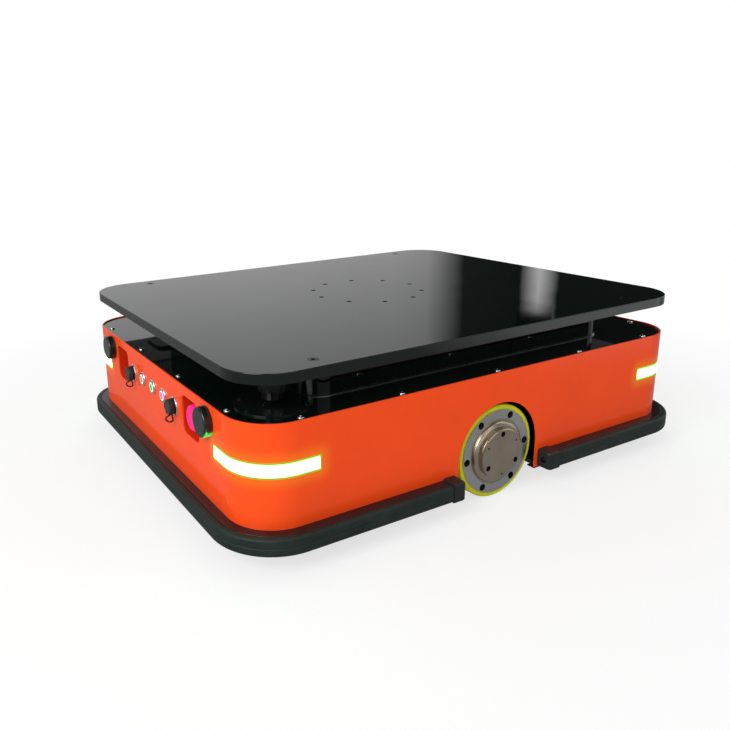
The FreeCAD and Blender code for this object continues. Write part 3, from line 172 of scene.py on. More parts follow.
print("painted and moulded finishes:", len(bpy.data.materials))

# %% [markdown]
# ## Plated and brushed metal
# The same function gives metals when its metallic value is one.  The colour is then the colour
# of the reflection.  Zinc is bluish and bright, nickel is warmer, black oxide is a thin dark
# skin on steel, and anodising leaves a deep satin.

# %% Metal finishes
zinc_screw = finish("Zinc plated steel, bright", "DADDE0", 0.2, grain_mm=0.5, Metallic=1.0)
black_oxide = finish("Steel, black oxide", "17171A", 0.34, grain_mm=0.4, Metallic=0.85)
bright_trim = finish("Aluminium strip, brushed", "8E9492", 0.28, grain_mm=0.6, Metallic=1.0)
# The reddish tint of the rail's colour is partly a painted reflection of the orange shell.
rail_black = finish("Aluminium, black anodised", "3A3033", 0.34, grain_mm=0.8, Metallic=0.7)
heat_sink = finish("Aluminium heat sink, black anodised", "2B2D2F", 0.4, Metallic=0.5)
milled = finish("Aluminium, milled", "A8ABAD", 0.36, grain_mm=0.8, Metallic=1.0)
chrome_post = finish("Hard chromed steel", "D9DCDE", 0.12, Metallic=1.0)
zinc_sheet = finish("Pressed steel, zinc plated", "B4B9BC", 0.34, shade=0.8, patch_mm=15,
                    Metallic=1.0)
polished_steel = finish("Stainless ring, polished", "F2F3F3", 0.12, grain_mm=0.5, Metallic=1.0)
nickel = finish("Brass, nickel plated", "E4E6E6", 0.16, grain_mm=0.5, Metallic=1.0)
mirror = finish("Aluminium, polished mirror", "C5C8CA", 0.06, Metallic=1.0)
print("finishes so far:", len(bpy.data.materials))

# %% [markdown]
# ## Signal orange powder coat
# The shell is sheet steel with a gloss powder coat in a strong orange-red.  Such a coat has a
# faint orange-peel relief about 1.6 mm across.  Close to the light bands the paint carries a
# painted glow, an emission that stands in for the lamps' light round them.  We fold space with
# absolute values, so that one small set of nodes measures the distance to all four bands.  The
# painted glow fades over 24 mm, and a second, stronger one over 3 mm.  The seam round a band and
# the folded foot of the sheet stay black.

# %% Orange paint with a painted glow round the lamps
band_low, band_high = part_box("led_boards")
BAND_MIDDLE = (band_low.z + band_high.z) / 2
BAND_HALF = (band_high.z - band_low.z) / 2
board_points = [vertex.co for vertex in NODES["led_boards"].data.vertices]
BAND_END_X = min(abs(point.x) for point in board_points)
BAND_END_Y = min(abs(point.y) for point in board_points)
# Painted glow round the bands: the reach in millimetres and the power of an emission on the
# paint.
PAINTED_GLOW = ((24.0, 0.075), (3.0, 0.6))  # reach in millimetres and power
SEAM = 1.5 * MM
FOOT_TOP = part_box("shell")[0].z + 2.2 * MM


def gap_to_bands(tree, place):
    """Distance from a surface point to the nearest light band."""
    level = add(tree, "VectorMath", {0: place, 1: (0, 0, -BAND_MIDDLE)})
    folded = add(tree, "VectorMath", {0: level}, operation="ABSOLUTE")
    past = add(tree, "VectorMath", {0: folded, 1: (BAND_END_X, BAND_END_Y, BAND_HALF)},
               operation="SUBTRACT")
    short = add(tree, "VectorMath", {0: past, 1: (-1, -1, 1)}, operation="MULTIPLY")
    gap = add(tree, "VectorMath", {0: short, 1: (0, 0, 0)}, operation="MAXIMUM")
    return add(tree, "VectorMath", {0: gap}, operation="LENGTH").outputs["Value"]


def orange_paint(name, colour):
    """Gloss powder coat with a painted glow, as emission, round the corner lamps."""
    material = finish(name, colour, 0.13, grain_mm=1.6, bump=0.012, shade=0.94, patch_mm=90,
                      specular=0.2)
    tree, place, _, shader = opened(material)
    away = gap_to_bands(tree, place)
    painted_glow_fades = [add(tree, "MapRange", {
        "Value": away, "From Max": reach * MM, "To Min": power, "To Max": 0.0},
        interpolation_type="SMOOTHERSTEP") for reach, power in PAINTED_GLOW]
    painted_glow_fade = add(tree, "Math", {0: painted_glow_fades[0], 1: painted_glow_fades[1]}, operation="ADD")
    # Painted glow: a green emission on the paint near the bands, not light from a lamp.
    shader.inputs["Emission Color"].default_value = srgb("90FF20")
    tree.links.new(painted_glow_fade.outputs[0], shader.inputs["Emission Strength"])
    height = add(tree, "SeparateXYZ", {0: place}).outputs["Z"]
    foot = add(tree, "Math", {0: height, 1: FOOT_TOP}, operation="LESS_THAN")
    seam = add(tree, "Math", {0: away, 1: SEAM}, operation="LESS_THAN")
    bare = add(tree, "Math", {0: foot, 1: seam}, operation="MAXIMUM")
    paint = shader.inputs["Base Color"].links[0].from_socket
    primed = add(tree, "Mix", {"Factor": bare, 6: paint, 7: srgb("0C0C0D")}, data_type="RGBA")
    tree.links.new(primed.outputs[2], shader.inputs["Base Color"])
    return material


def paint_band_glow(material, reach_mm, power):
    """Painted green glow, as emission, on the side of a part that looks along the panel near a
    band.
    """
    tree, place, _, shader = opened(material)
    painted_glow_fade = add(tree, "MapRange", {
        "Value": gap_to_bands(tree, place), "From Min": reach_mm * 0.6 * MM,
        "From Max": reach_mm * MM, "To Min": power, "To Max": 0.0},
        interpolation_type="SMOOTHERSTEP")
    normal = add(tree, "NewGeometry").outputs["Normal"]
    along = add(tree, "SeparateXYZ", {0: normal}).outputs["X"]
    ahead = add(tree, "Math", {0: along}, operation="ABSOLUTE")
    sideways = add(tree, "MapRange", {"Value": ahead, "From Min": 0.3, "From Max": 0.8,
                                      "To Min": 1.0, "To Max": 0.0})
    glow = add(tree, "Math", {0: painted_glow_fade, 1: sideways}, operation="MULTIPLY")
    # Painted glow: a green emission, not light that reaches the part from the band.
    shader.inputs["Emission Color"].default_value = srgb("1CFF50")
    tree.links.new(glow.outputs[0], shader.inputs["Emission Strength"])


orange = orange_paint("Powder coat, signal orange", "F04B18")
# The near antenna's green glow is painted, as emission.
paint_band_glow(antenna_shell, reach_mm=21.0, power=0.8)
# Inside a recess the orange is darker: painted shade, not a different paint.
recess_orange_painted_shade = finish("Powder coat, painted shade inside a recess", "C92E10", 0.2, grain_mm=1.6, bump=0.012,
                       specular=0.2)
print("lamp bands end at", [round(v / MM, 1) for v in (BAND_END_X, BAND_END_Y)], "mm")

# %% [markdown]
# ## Gloss black enamel
# The deck and the load plate carry a black stove enamel polished like a piano lid.  Its depth
# comes from a very low roughness.  Two reliefs keep it real: a faint orange peel of 3 mm, and a
# slow waviness over 120 mm that makes the edges of reflections bend a little.

# %% Black enamel
def enamel(name, colour, roughness):
    """Polished enamel whose reflections waver slightly."""
    material = finish(name, colour, roughness, grain_mm=3.0, bump=0.004, shade=0.8, patch_mm=200,
                      uneven=0.3, IOR=1.48)
    tree, place, peel, _ = opened(material)
    swell = add(tree, "TexNoise", {"Vector": place, "Scale": 1 / (120 * MM), "Detail": 1.0})
    wave = add(tree, "Bump", {"Height": swell, "Strength": 1.0, "Distance": 0.35 * MM})
    tree.links.new(wave.outputs[0], peel.inputs["Normal"])
    return material


black_gloss = enamel("Black stove enamel, polished", "05110C", 0.03)

# %% [markdown]
# ## Turned aluminium
# A lathe leaves fine rings round the axle.  Rings stretch each highlight across themselves,
# which gives the bright sweeps on a wheel's face.  We measure the distance from the axle, feed
# it alone to a noise, and get rings of random depth about 0.35 mm apart; real ones are finer
# and wouldn't show.  The tangent runs round the axle, so that anisotropy follows the rings.

# %% Turned metal
AXLE_Z = 75.0 * MM


def turned_metal(name, colour, roughness, ring_mm=0.35, depth=0.25):
    """Metal turned on a lathe about the wheel's axle."""
    material = finish(name, colour, roughness, grain_mm=0.6, bump=0.01, patch_mm=25,
                      Metallic=1.0, Anisotropic=0.65)
    tree, place, grain, shader = opened(material)
    spoke = add(tree, "VectorMath", {0: place, 1: (0, 0, -AXLE_Z)})
    flat = add(tree, "VectorMath", {0: spoke, 1: (1, 0, 1)}, operation="MULTIPLY")
    radius = add(tree, "VectorMath", {0: flat}, operation="LENGTH")
    rings = add(tree, "TexNoise", {"W": radius.outputs["Value"], "Detail": 2.0,
                                   "Scale": 1 / (ring_mm * MM)}, noise_dimensions="1D")
    cut = add(tree, "Bump", {"Height": rings, "Strength": depth, "Distance": 0.02 * MM})
    tree.links.new(cut.outputs[0], grain.inputs["Normal"])
    round_axle = add(tree, "VectorMath", {0: flat, 1: (0, 1, 0)}, operation="CROSS_PRODUCT")
    to_world = add(tree, "VectorTransform", {0: round_axle}, vector_type="VECTOR",
                   convert_from="OBJECT", convert_to="WORLD")
    tree.links.new(to_world.outputs[0], shader.inputs["Tangent"])
    return material


rim_metal = turned_metal("Aluminium rim, turned", "C6C8C9", 0.3)
hub_metal = turned_metal("Aluminium hub, champagne anodised", "BDB09C", 0.24)
print("finishes so far:", len(bpy.data.materials))

# %% [markdown]
# ## Light bands
# A strip of green lamps shines through an opal acrylic band.  Seen directly the middle is so
# bright that it turns white, and only the top and bottom edges, where less light gets through,
# keep a yellow-green.  The emission therefore follows the height in the band.

# %% Lit opal acrylic
def lit_opal(name, core, edge, strength):
    """Opal acrylic that glows most along the middle of its height."""
    material, tree, place = empty_material(name)
    height = add(tree, "SeparateXYZ", {0: place}).outputs["Z"]
    above = add(tree, "Math", {0: height, 1: BAND_MIDDLE}, operation="SUBTRACT")
    off = add(tree, "Math", {0: above}, operation="ABSOLUTE")
    rim = add(tree, "MapRange", {"Value": off, "From Min": BAND_HALF * 0.68,
                                 "From Max": BAND_HALF})
    power = add(tree, "MapRange", {"Value": rim, "From Max": 0.45, "To Min": strength,
                                   "To Max": 0.8})
    colour = blend_colour(tree, rim, srgb(core), srgb(edge), 0.0, 0.5)
    shader = add(tree, "BsdfPrincipled", {
        "Base Color": srgb("E8F2D8"), "Roughness": 0.3, "Emission Color": colour,
        "Emission Strength": power})
    add(tree, "OutputMaterial", {"Surface": shader})
    return material


lamp = lit_opal("Opal acrylic, lit green", "5CFF66", "86E60A", 16.0)

# %% [markdown]
# ## Switch lenses
# The push buttons and the emergency stop are coloured plastics.  The buttons' rings and lenses
# get a low emission of their own colour on top of their gloss: a painted glow, with no lamp
# behind them.

# %% Lens finishes
# The rings' and lenses' emission is a painted glow, not light from a lamp.
lens_ring = finish("Opal ring, white, painted glow", "FBFBF6", 0.25, glow=("FFFFF4", 0.9))
lens_white = finish("Lens, warm grey", "A58B7C", 0.3, glow=("A58B7C", 0.12))
lens_green = finish("Lens, green", "15A060", 0.3, glow=("1FB869", 0.35))
lens_pink = finish("Lens, pink", "D9588A", 0.3, glow=("FF7FB0", 0.25))
# The head's emission is a painted glow: the pink plastic is no lamp.
estop_red = finish("Polycarbonate, signal pink-red", "F01870", 0.28, grain_mm=0.5, bump=0.01,
                   specular=0.25, glow=("FF2284", 0.3))
index_paint = finish("White enamel filling", "F1F1EC", 0.4)
print("finishes in all:", len(bpy.data.materials))

# %% [markdown]
# ## Which node gets which finish
# Twins share one finish: a node's name is shortened word by word until the table knows it.

# %% Give each node its finish
WEARS = [
    (orange, "shell"), (recess_orange_painted_shade, "recess_cups"),
    (black_gloss, "deck top_plate riser_frame"),
    (black_satin, "base_plate mid_plate caster_towers"), (zinc_screw, "body_screws"),
    (black_oxide, "top_plate_screws wheel_bolts"), (bright_trim, "riser_seal"),
    (battery_case, "battery"), (heat_sink, "drive_controller"), (lamp, "led_diffusers"),
    (lamp_board, "led_boards"), (rail_black, "bumper_rails"), (rubber, "bumper_rubbers"),
    (cap_plastic, "bumper_caps"), (chrome_post, "suspension_posts"),
    (zinc_sheet, "caster_mounts caster_fork"),
    (switch_black, "estop_body estop_stem power_switch_body power_switch_knob"),
    (estop_red, "estop_head"), (polished_steel, "button_bezels"), (lens_white, "button_start"),
    (lens_green, "button_status"), (lens_pink, "button_reset"), (nickel, "connector_sockets"),
    (tether_rubber, "cap_tethers"), (antenna_shell, "antennas"),
    (scanner_black, "scanner_housings"), (scanner_glass, "scanner_windows"),
    (dust_cap, "connector_cap"), (tyre_skin, "drive_tyre"), (rim_metal, "drive_rim"),
    (hub_metal, "hub_reducer"), (milled, "drive_bracket"), (motor_black, "drive_motor"),
    (urethane, "suspension_springs"), (caster_nylon, "caster_wheel"), (mirror, "scanner_rotor")]
LOOK = {node: look for look, nodes in WEARS for node in nodes.split()}


def look_of(node):
    """The finish for a node, by its own name or by the name it shares with its twins."""
    while node not in LOOK:
        node = node.rpartition("_")[0]
    return LOOK[node]


for name, obj in NODES.items():
    obj.data.materials.clear()
    obj.data.materials.append(look_of(name))
print("dressed nodes:", len(NODES))

# %% [markdown]
# ## Turned shapes
# Screws, wheels, knobs and bezels are all turned parts: a profile carried round an axis.  A
# small lathe in code makes them, from points given as radius and height in millimetres.  A
# marked ring is drawn as a hexagon, which gives a key socket.  Then a piece is settled: doubles
# merged, normals outward, smooth with crisp edges, and tied to the body that it moves with.

# %% Lathe and piece helpers
SIDES = (("left", 1), ("right", -1))  # a side and its direction along Y


def arc(radius, height, bend, start, end, steps=6):
    """Profile points round a fillet, from one angle in degrees to another."""
    angles = [math.radians(start + (end - start) * k / steps) for k in range(steps + 1)]
    return [(radius + bend * math.cos(angle), height + bend * math.sin(angle))
            for angle in angles]


def mesh_from(shape, name):
    """A mesh from an editable shape, which is then freed."""
    mesh = bpy.data.meshes.new(name)
    shape.to_mesh(mesh)
    shape.free()
    return mesh


def placed(name, data):
    """A new object in the scene."""
    obj = bpy.data.objects.new(name, data)
    scene.collection.objects.link(obj)
    return obj


def turned(profile, steps=48, hexed=(), closed=False, capped=False, finishes=None):
    """Mesh turned about Z from (radius, height) points in millimetres."""
    shape = bmesh.new()
    rings = []
    for index, (radius, height) in enumerate(profile):
        if radius == 0:
            rings.append([shape.verts.new((0, 0, height * MM))])
            continue
        ring = []
        for step in range(steps):
            angle = 2 * math.pi * step / steps
            reach = radius * MM
            if index in hexed:
                reach /= math.cos(angle % (math.pi / 3) - math.pi / 6)
            ring.append(shape.verts.new((reach * math.cos(angle), reach * math.sin(angle),
                                         height * MM)))
        rings.append(ring)
    pairs = list(zip(rings, rings[1:])) + ([(rings[-1], rings[0])] if closed else [])
    for index, (low, high) in enumerate(pairs):
        if len(low) == len(high) == 1:
            continue
        for step in range(steps):
            after = (step + 1) % steps
            corners = [low[step % len(low)], low[after % len(low)],
                       high[after % len(high)], high[step % len(high)]]
            face = shape.faces.new(list(dict.fromkeys(corners)))
            face.material_index = finishes[index] if finishes else 0
    bmesh.ops.recalc_face_normals(shape, faces=shape.faces)
    if capped:
        bmesh.ops.holes_fill(shape, edges=[edge for edge in shape.edges if edge.is_boundary])
    return mesh_from(shape, "turned")


def facing(axis, at):
    """Matrix that sets a turned part upright on a point, its Z along an axis."""
    return (Matrix.Translation(at)
            @ Vector(axis).to_track_quat("Z", "Y").to_matrix().to_4x4())


def on_panel(mesh, x, low, high):
    """Turn a part's Z out of the panel, with its foot at x in the middle of a box."""
    mesh.transform(facing((-1, 0, 0), (x, (low.y + high.y) / 2, (low.z + high.z) / 2)))


def settle(mesh, crease=35.0):
    """Merge doubles, turn normals outward and keep only real edges sharp."""
    shape = bmesh.new()
    shape.from_mesh(mesh)
    bmesh.ops.remove_doubles(shape, verts=shape.verts, dist=0.002 * MM)
    bmesh.ops.recalc_face_normals(shape, faces=shape.faces)
    shape.to_mesh(mesh)
    shape.free()
    mesh.shade_smooth()
    mesh.set_sharp_from_angle(angle=math.radians(crease))


def piece(name, mesh, body, looks, replaces=()):
    """A finished piece at the origin that rides on a body and stands for CAD nodes."""
    settle(mesh)
    mesh.name = name
    if not mesh.materials:
        for look in looks:
            mesh.materials.append(look)
    obj = placed(name, mesh)
    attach(obj, body)
    if replaces:
        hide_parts(*replaces)
    print(name, "on", body, "faces:", len(mesh.polygons))
    return obj


def joined(meshes):
    """One mesh from several."""
    shape = bmesh.new()
    for mesh in meshes:
        shape.from_mesh(mesh)
    return mesh_from(shape, "joined")


def solids_of(node):
    """Lowest and highest corner of each separate solid in a node, in a fixed order."""
    shape = bmesh.new()
    shape.from_mesh(NODES[node].data)
    bmesh.ops.remove_doubles(shape, verts=shape.verts, dist=0.01 * MM)
    left = set(shape.verts)
    boxes = []
    while left:
        stack = [left.pop()]
        points = []
        while stack:
            vertex = stack.pop()
            points.append(vertex.co.copy())
            for edge in vertex.link_edges:
                other = edge.other_vert(vertex)
                if other in left:
                    left.remove(other)
                    stack.append(other)
        boxes.append(tuple(Vector([pick(point[k] for point in points) for k in range(3)])
                           for pick in (min, max)))
    shape.free()
    return sorted(boxes, key=lambda box: tuple(round(c, 5) for c in box[0]))


# %% [markdown]
# ## Geometry trees
# What repeats or follows a path is made by Geometry Nodes.  A tree gets named inputs, so its
# sizes can be changed without opening it.  We set each input by its identifier, evaluate once,
# keep the result as a plain mesh and throw the carrier away.

# %% Geometry tree helpers
def geometry_tree(name, **kinds):
    """An empty geometry tree with named inputs: returns the tree and its input sockets."""
    tree = bpy.data.node_groups.new(name, "GeometryNodeTree")
    tree.interface.new_socket("Geometry", in_out="OUTPUT", socket_type="NodeSocketGeometry")
    for label, kind in {"Geometry": "Geometry", **kinds}.items():
        tree.interface.new_socket(label, in_out="INPUT", socket_type="NodeSocket" + kind)
    return tree, add(tree, "NodeGroupInput").outputs


def end_tree(tree, geometry, material):
    """Realise the instances, give them their material and hand them out."""
    real = add(tree, "RealizeInstances", {"Geometry": geometry})
    done = add(tree, "SetMaterial", {"Geometry": real, "Material": material})
    add(tree, "NodeGroupOutput", {"Geometry": done})


def grown(tree, seed_mesh, **values):
    """Run a tree on a mesh and return the result as a plain mesh."""
    carrier = placed("carrier", seed_mesh)
    helpers = [obj for obj in values.values() if isinstance(obj, bpy.types.Object)]
    for helper in helpers:
        scene.collection.objects.link(helper)
    modifier = carrier.modifiers.new("rule", "NODES")
    modifier.node_group = tree
    ids = {item.name: item.identifier for item in tree.interface.items_tree
           if item.in_out == "INPUT"}
    for label, value in values.items():
        modifier[ids[label]] = value
    graph = bpy.context.evaluated_depsgraph_get()
    result = bpy.data.meshes.new_from_object(carrier.evaluated_get(graph))
    for used in [carrier] + helpers:
        bpy.data.objects.remove(used)
    return result


def sample(mesh):
    """An object that lends its mesh to a geometry tree."""
    return bpy.data.objects.new("sample", mesh)


# %% [markdown]
# ## Screws
# Every screw stands where the engineering model has one, so its seats are read from the model
# and become points.  Each point carries the direction its screw faces and the size of its head.
# The tree sets one screw on every point and turns each by a random angle, because nobody
# tightens screws to the same angle.

# %% Tree that sets screws on their seats
screw_tree, given = geometry_tree("Screws on their seats", Screw="Object", Finish="Material",
                                  Seed="Int")
axis = add(screw_tree, "InputNamedAttribute", {"Name": "axis"},
           data_type="FLOAT_VECTOR").outputs["Attribute"]
scale = add(screw_tree, "InputNamedAttribute", {"Name": "scale"}).outputs["Attribute"]
upright = add(screw_tree, "FunctionNodeAlignRotationToVector", {"Vector": axis}, axis="Z")
spin = add(screw_tree, "FunctionNodeRandomValue", {"Seed": given["Seed"], 3: 2 * math.pi})
turn = add(screw_tree, "FunctionNodeAxisAngleToRotation", {"Axis": (0, 0, 1),
                                                           "Angle": spin.outputs[1]})
stance = add(screw_tree, "FunctionNodeRotateRotation", {"Rotation": upright, "Rotate By": turn},
             rotation_space="LOCAL")
source = add(screw_tree, "ObjectInfo", {"Object": given["Screw"], "As Instance": True})
stand = add(screw_tree, "InstanceOnPoints", {
    "Points": given["Geometry"], "Instance": source.outputs["Geometry"],
    "Rotation": stance, "Scale": scale})
end_tree(screw_tree, stand, given["Finish"])


def seats(places):
    """A mesh of points from (position, direction, scale)."""
    mesh = bpy.data.meshes.new("seats")
    mesh.from_pydata([tuple(position) for position, _, _ in places], [], [])
    mesh.attributes.new("axis", "FLOAT_VECTOR", "POINT").data.foreach_set(
        "vector", [c for _, direction, _ in places for c in direction])
    mesh.attributes.new("scale", "FLOAT", "POINT").data.foreach_set(
        "value", [scale for _, _, scale in places])
    return mesh


def set_screws(name, screw, places, look, seed, body, replaces=()):
    """A piece made of one screw on each seat."""
    screws = grown(screw_tree, seats(places), Screw=sample(screw), Finish=look, Seed=seed)
    piece(name, screws, body, [look], replaces)


# %% Button-head screws of the deck and the bumper caps
button_head = turned([(0, -5.5), (2.2, -5.5), (2.5, -5.0), (2.5, 0), (4.5, 0), (4.6, 0.3),
                      (4.45, 0.9), (4.0, 1.5), (3.3, 2.0), (2.5, 2.3), (2.0, 2.4), (1.55, 2.3),
                      (1.5, 2.1), (1.5, 0.9), (0, 0.7)], steps=30, hexed=(12, 13))
HEAD = 2.4 * MM
DECK_LEVEL = 180 * MM  # the screws above it hold the deck, those below it the bumper's caps
deck_seats, cap_seats = [], []
for low, high in solids_of("body_screws"):
    middle = (low + high) / 2
    if high.z > DECK_LEVEL:
        deck_seats.append(((middle.x, middle.y, high.z - HEAD), (0, 0, 1), 1.0))
    else:
        side = math.copysign(1, middle.x)
        inner = low.x if side > 0 else high.x
        cap_seats.append(((inner + side * HEAD, middle.y, middle.z), (-side, 0, 0), 1.0))
set_screws("button_head_screws", button_head, deck_seats, zinc_screw, 3, "chassis",
           ["body_screws"])
set_screws("bumper_cap_screws", button_head, cap_seats, black_oxide, 4, "chassis")

# %% Countersunk screws of the load plate
sunk_head = turned([(0, -14.5), (3.6, -14.5), (4, -14), (4, -4), (7.9, -0.15), (7.8, 0),
                    (3.2, 0), (2.95, -0.3), (2.9, -4), (0, -4.4)], steps=36, hexed=(7, 8))
plate_seats = [((*((low + high) / 2).xy, high.z), (0, 0, 1), 1.0)
               for low, high in solids_of("top_plate_screws")]
set_screws("plate_screws", sunk_head, plate_seats, black_oxide, 5, "chassis",
           ["top_plate_screws"])

# %% Socket-head screws of the drive wheels
cap_head = turned([(0, -13.8), (2.7, -13.8), (3, -13.5), (3, 0), (4.7, 0), (4.9, 0.2),
                   (4.9, 4.4), (4.5, 5), (3.0, 5), (2.6, 4.6), (2.5, 2.4), (0, 1.9)],
                  steps=30, hexed=(9, 10))
CAP_RADIUS = 4.9 * MM
CAP_HEIGHT = 5 * MM
for side, outward in SIDES:
    node = "wheel_bolts_" + side
    wheel_seats = []
    for low, high in solids_of(node):
        middle = (low + high) / 2
        top = high.y if outward > 0 else low.y
        size = (high.x - low.x) / 2 / CAP_RADIUS
        wheel_seats.append(((middle.x, top - outward * CAP_HEIGHT * size, middle.z),
                            (0, outward, 0), size))
    set_screws("wheel_screws_" + side, cap_head, wheel_seats, black_oxide, 7,
               "drive_wheel_" + side, [node])

# %% [markdown]
# ## Bumper rubber
# The bumper is an extruded rubber strip pushed on an aluminium rail.  Its shape is one profile
# that follows the outline of the body, so a tree sweeps the profile along a path with rounded
# corners.  The profile has full outer rounds, a bevel against the rail and a shallow groove
# along its face, as extruded strips have.

# %% Tree that sweeps a profile along a rounded path
sweep_tree, given = geometry_tree("Profile along a rounded path", Profile="Object",
                                  Corner_radius="Float", Corner_steps="Int",
                                  Finish="Material")
path = add(sweep_tree, "MeshToCurve", {"Mesh": given["Geometry"]})
bent = add(sweep_tree, "FilletCurve", {
    "Curve": path, "Count": given["Corner_steps"], "Radius": given["Corner_radius"],
    "Limit Radius": True}, mode="POLY")
level = add(sweep_tree, "SetCurveNormal", {"Curve": bent}, mode="Z_UP")
drawn = add(sweep_tree, "ObjectInfo", {"Object": given["Profile"]})
outline = add(sweep_tree, "MeshToCurve", {"Mesh": drawn.outputs["Geometry"]})
swept = add(sweep_tree, "CurveToMesh", {"Curve": level, "Profile Curve": outline,
                                        "Fill Caps": True})
end_tree(sweep_tree, swept, given["Finish"])


def wire(points, closed):
    """A mesh of edges through points in metres."""
    edges = [(k, k + 1) for k in range(len(points) - 1)]
    if closed:
        edges.append((len(points) - 1, 0))
    mesh = bpy.data.meshes.new("wire")
    mesh.from_pydata([tuple(point) for point in points], edges, [])
    return mesh


# %% Rubber strips
CORNER = 71.0 * MM
rail_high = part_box("bumper_rails")[1]
rubber_low, rubber_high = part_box("bumper_rubbers")
shell_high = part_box("shell")[1]
depth = (rubber_high.x - rail_high.x) / MM
height = (rubber_high.z - rubber_low.z) / MM
start_x = min(low.x for low, _ in solids_of("bumper_rubbers") if low.x > 0)
profile = ([(0, 0)] + arc(depth - 4, 4, 4, -90, 0, 8)
           + [(depth, height * 0.5 - 1.4), (depth - 0.5, height * 0.5 - 0.7),
              (depth - 0.5, height * 0.5 + 0.7), (depth, height * 0.5 + 1.4)]
           + arc(depth - 4, height - 4, 4, 0, 90, 8) + [(1.2, height), (0, height - 1.2)])
section = wire([(across * MM, -up * MM, 0) for across, up in profile], True)
turns = ((start_x, -rail_high.y), (rail_high.x, -rail_high.y), rail_high.xy,
         (start_x, rail_high.y))
strips = []
for end in (1, -1):
    run = [(end * x, end * y, rubber_low.z) for x, y in turns]
    strips.append(grown(sweep_tree, wire(run, False), Profile=sample(section),
                        Corner_radius=CORNER + rail_high.x - shell_high.x, Corner_steps=28,
                        Finish=rubber))
piece("bumper_strips", joined(strips), "chassis", [rubber],
      ["bumper_rubbers"])
print("rubber section:", round(depth, 1), "x", round(height, 1), "mm")

# %% [markdown]
# ## Drive wheels
# The tyre is polyurethane cast on the aluminium rim.  The cast part is turned to size
# afterwards, so it has round shoulders and a slight crown in the middle of the tread, and
# a fine step beside the rim where the mould closed.

# %% Tyres
TYRE_WIDTH = 45.0
tyre_profile = ([(67, 0.6), (68.2, 0.6), (68.7, 0)] + arc(71.9, 2.9, 2.9, -90, 0, 6)
                + [(74.95, 10), (75, 22.5), (74.95, 35)]
                + arc(71.9, TYRE_WIDTH - 2.9, 2.9, 0, 90, 6)
                + [(68.7, TYRE_WIDTH), (68.2, TYRE_WIDTH - 0.6), (67, TYRE_WIDTH - 0.6)])
for side, outward in SIDES:
    low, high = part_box("drive_tyre_" + side)
    inner = low.y if outward > 0 else high.y
    tyre = turned(tyre_profile, steps=180, closed=True)
    tyre.transform(facing((0, outward, 0), (0, inner, AXLE_Z)))
    piece("tyre_" + side, tyre, "drive_wheel_" + side, [tyre_skin],
          ["drive_tyre_" + side])

# %% [markdown]
# ## Ribs and spokes round an axis
# Grips on a cap, flutes on a knob and spokes in a caster wheel all repeat round an axis.  One
# tree does them: a circle of points, and on each point the same rib with its X outward.

# %% Tree that repeats a rib round an axis
rib_tree, given = geometry_tree("Ribs round an axis", Rib="Object", Count="Int",
                                Radius="Float", Finish="Material")
circle = add(rib_tree, "MeshCircle", {"Vertices": given["Count"], "Radius": given["Radius"]})
spot = add(rib_tree, "InputPosition")
aim = add(rib_tree, "FunctionNodeAlignRotationToVector", {"Vector": spot}, axis="X")
rib = add(rib_tree, "ObjectInfo", {"Object": given["Rib"], "As Instance": True})
ribs = add(rib_tree, "InstanceOnPoints", {
    "Points": circle, "Instance": rib.outputs["Geometry"], "Rotation": aim})
end_tree(rib_tree, ribs, given["Finish"])


def ribs_round(rib, count, radius, look):
    """Copies of a rib on a circle round Z whose radius is in millimetres."""
    return grown(rib_tree, bpy.data.meshes.new("seed"), Rib=sample(rib), Count=count,
                 Radius=radius * MM, Finish=look)


def bar(x0, x1, width, z0, z1, bevel=0.3):
    """A bar with bevelled edges, for ribs and spokes, in millimetres."""
    shape = bmesh.new()
    bmesh.ops.create_cube(shape, size=1.0)
    for vertex in shape.verts:
        vertex.co = Vector(((x0 if vertex.co.x < 0 else x1) * MM, vertex.co.y * width * MM,
                            (z0 if vertex.co.z < 0 else z1) * MM))
    bmesh.ops.bevel(shape, geom=shape.edges, offset=bevel * MM, segments=2, profile=0.5,
                    affect="EDGES")
    return mesh_from(shape, "bar")


# %% Caster wheels
core_half = [(4.05, -14.5), (7.5, -14.5), (7.7, -14.2), (7.7, -12.3), (9.4, -12.3), (9.6, -12),
             (9.8, -5.4), (10.2, -5), (25.8, -5), (26.2, -5.4), (26.4, -12), (26.8, -12.3),
             (30, -12.3)]
tread_half = [(30, -12.2)] + arc(33.6, -8.4, 3.9, -90, 0, 6)
core_profile, tread_profile = (
    half + [(radius, -height) for radius, height in reversed(half)]
    for half in (core_half, tread_half))
spoke = bar(9.5, 26.6, 2.4, -11.2, 11.2)
for corner in ("front_left", "front_right", "rear_left", "rear_right"):
    node = "caster_wheel_" + corner
    low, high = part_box(node)
    core = joined([turned(core_profile, steps=72, closed=True),
                   ribs_round(spoke, 6, 0.1, caster_nylon)])
    tread = turned(tread_profile, steps=96, closed=True)
    for part, mesh, look in (("core", core, caster_nylon), ("tread", tread, caster_tread)):
        mesh.transform(facing((0, 1, 0), (low + high) / 2))
        piece(f"caster_{part}_{corner}", mesh, "caster_roller_" + corner,
              [look], [node])

# %% [markdown]
# ## Connectors
# Each connector has a bayonet dust cap with grips, held by a moulded rubber strap.  The strap is
# a ring in the cap's groove and a drop-shaped loop below it that swings out from the panel.
# The loop is a rule as well: a round profile swept along a closed path, narrow at the top.

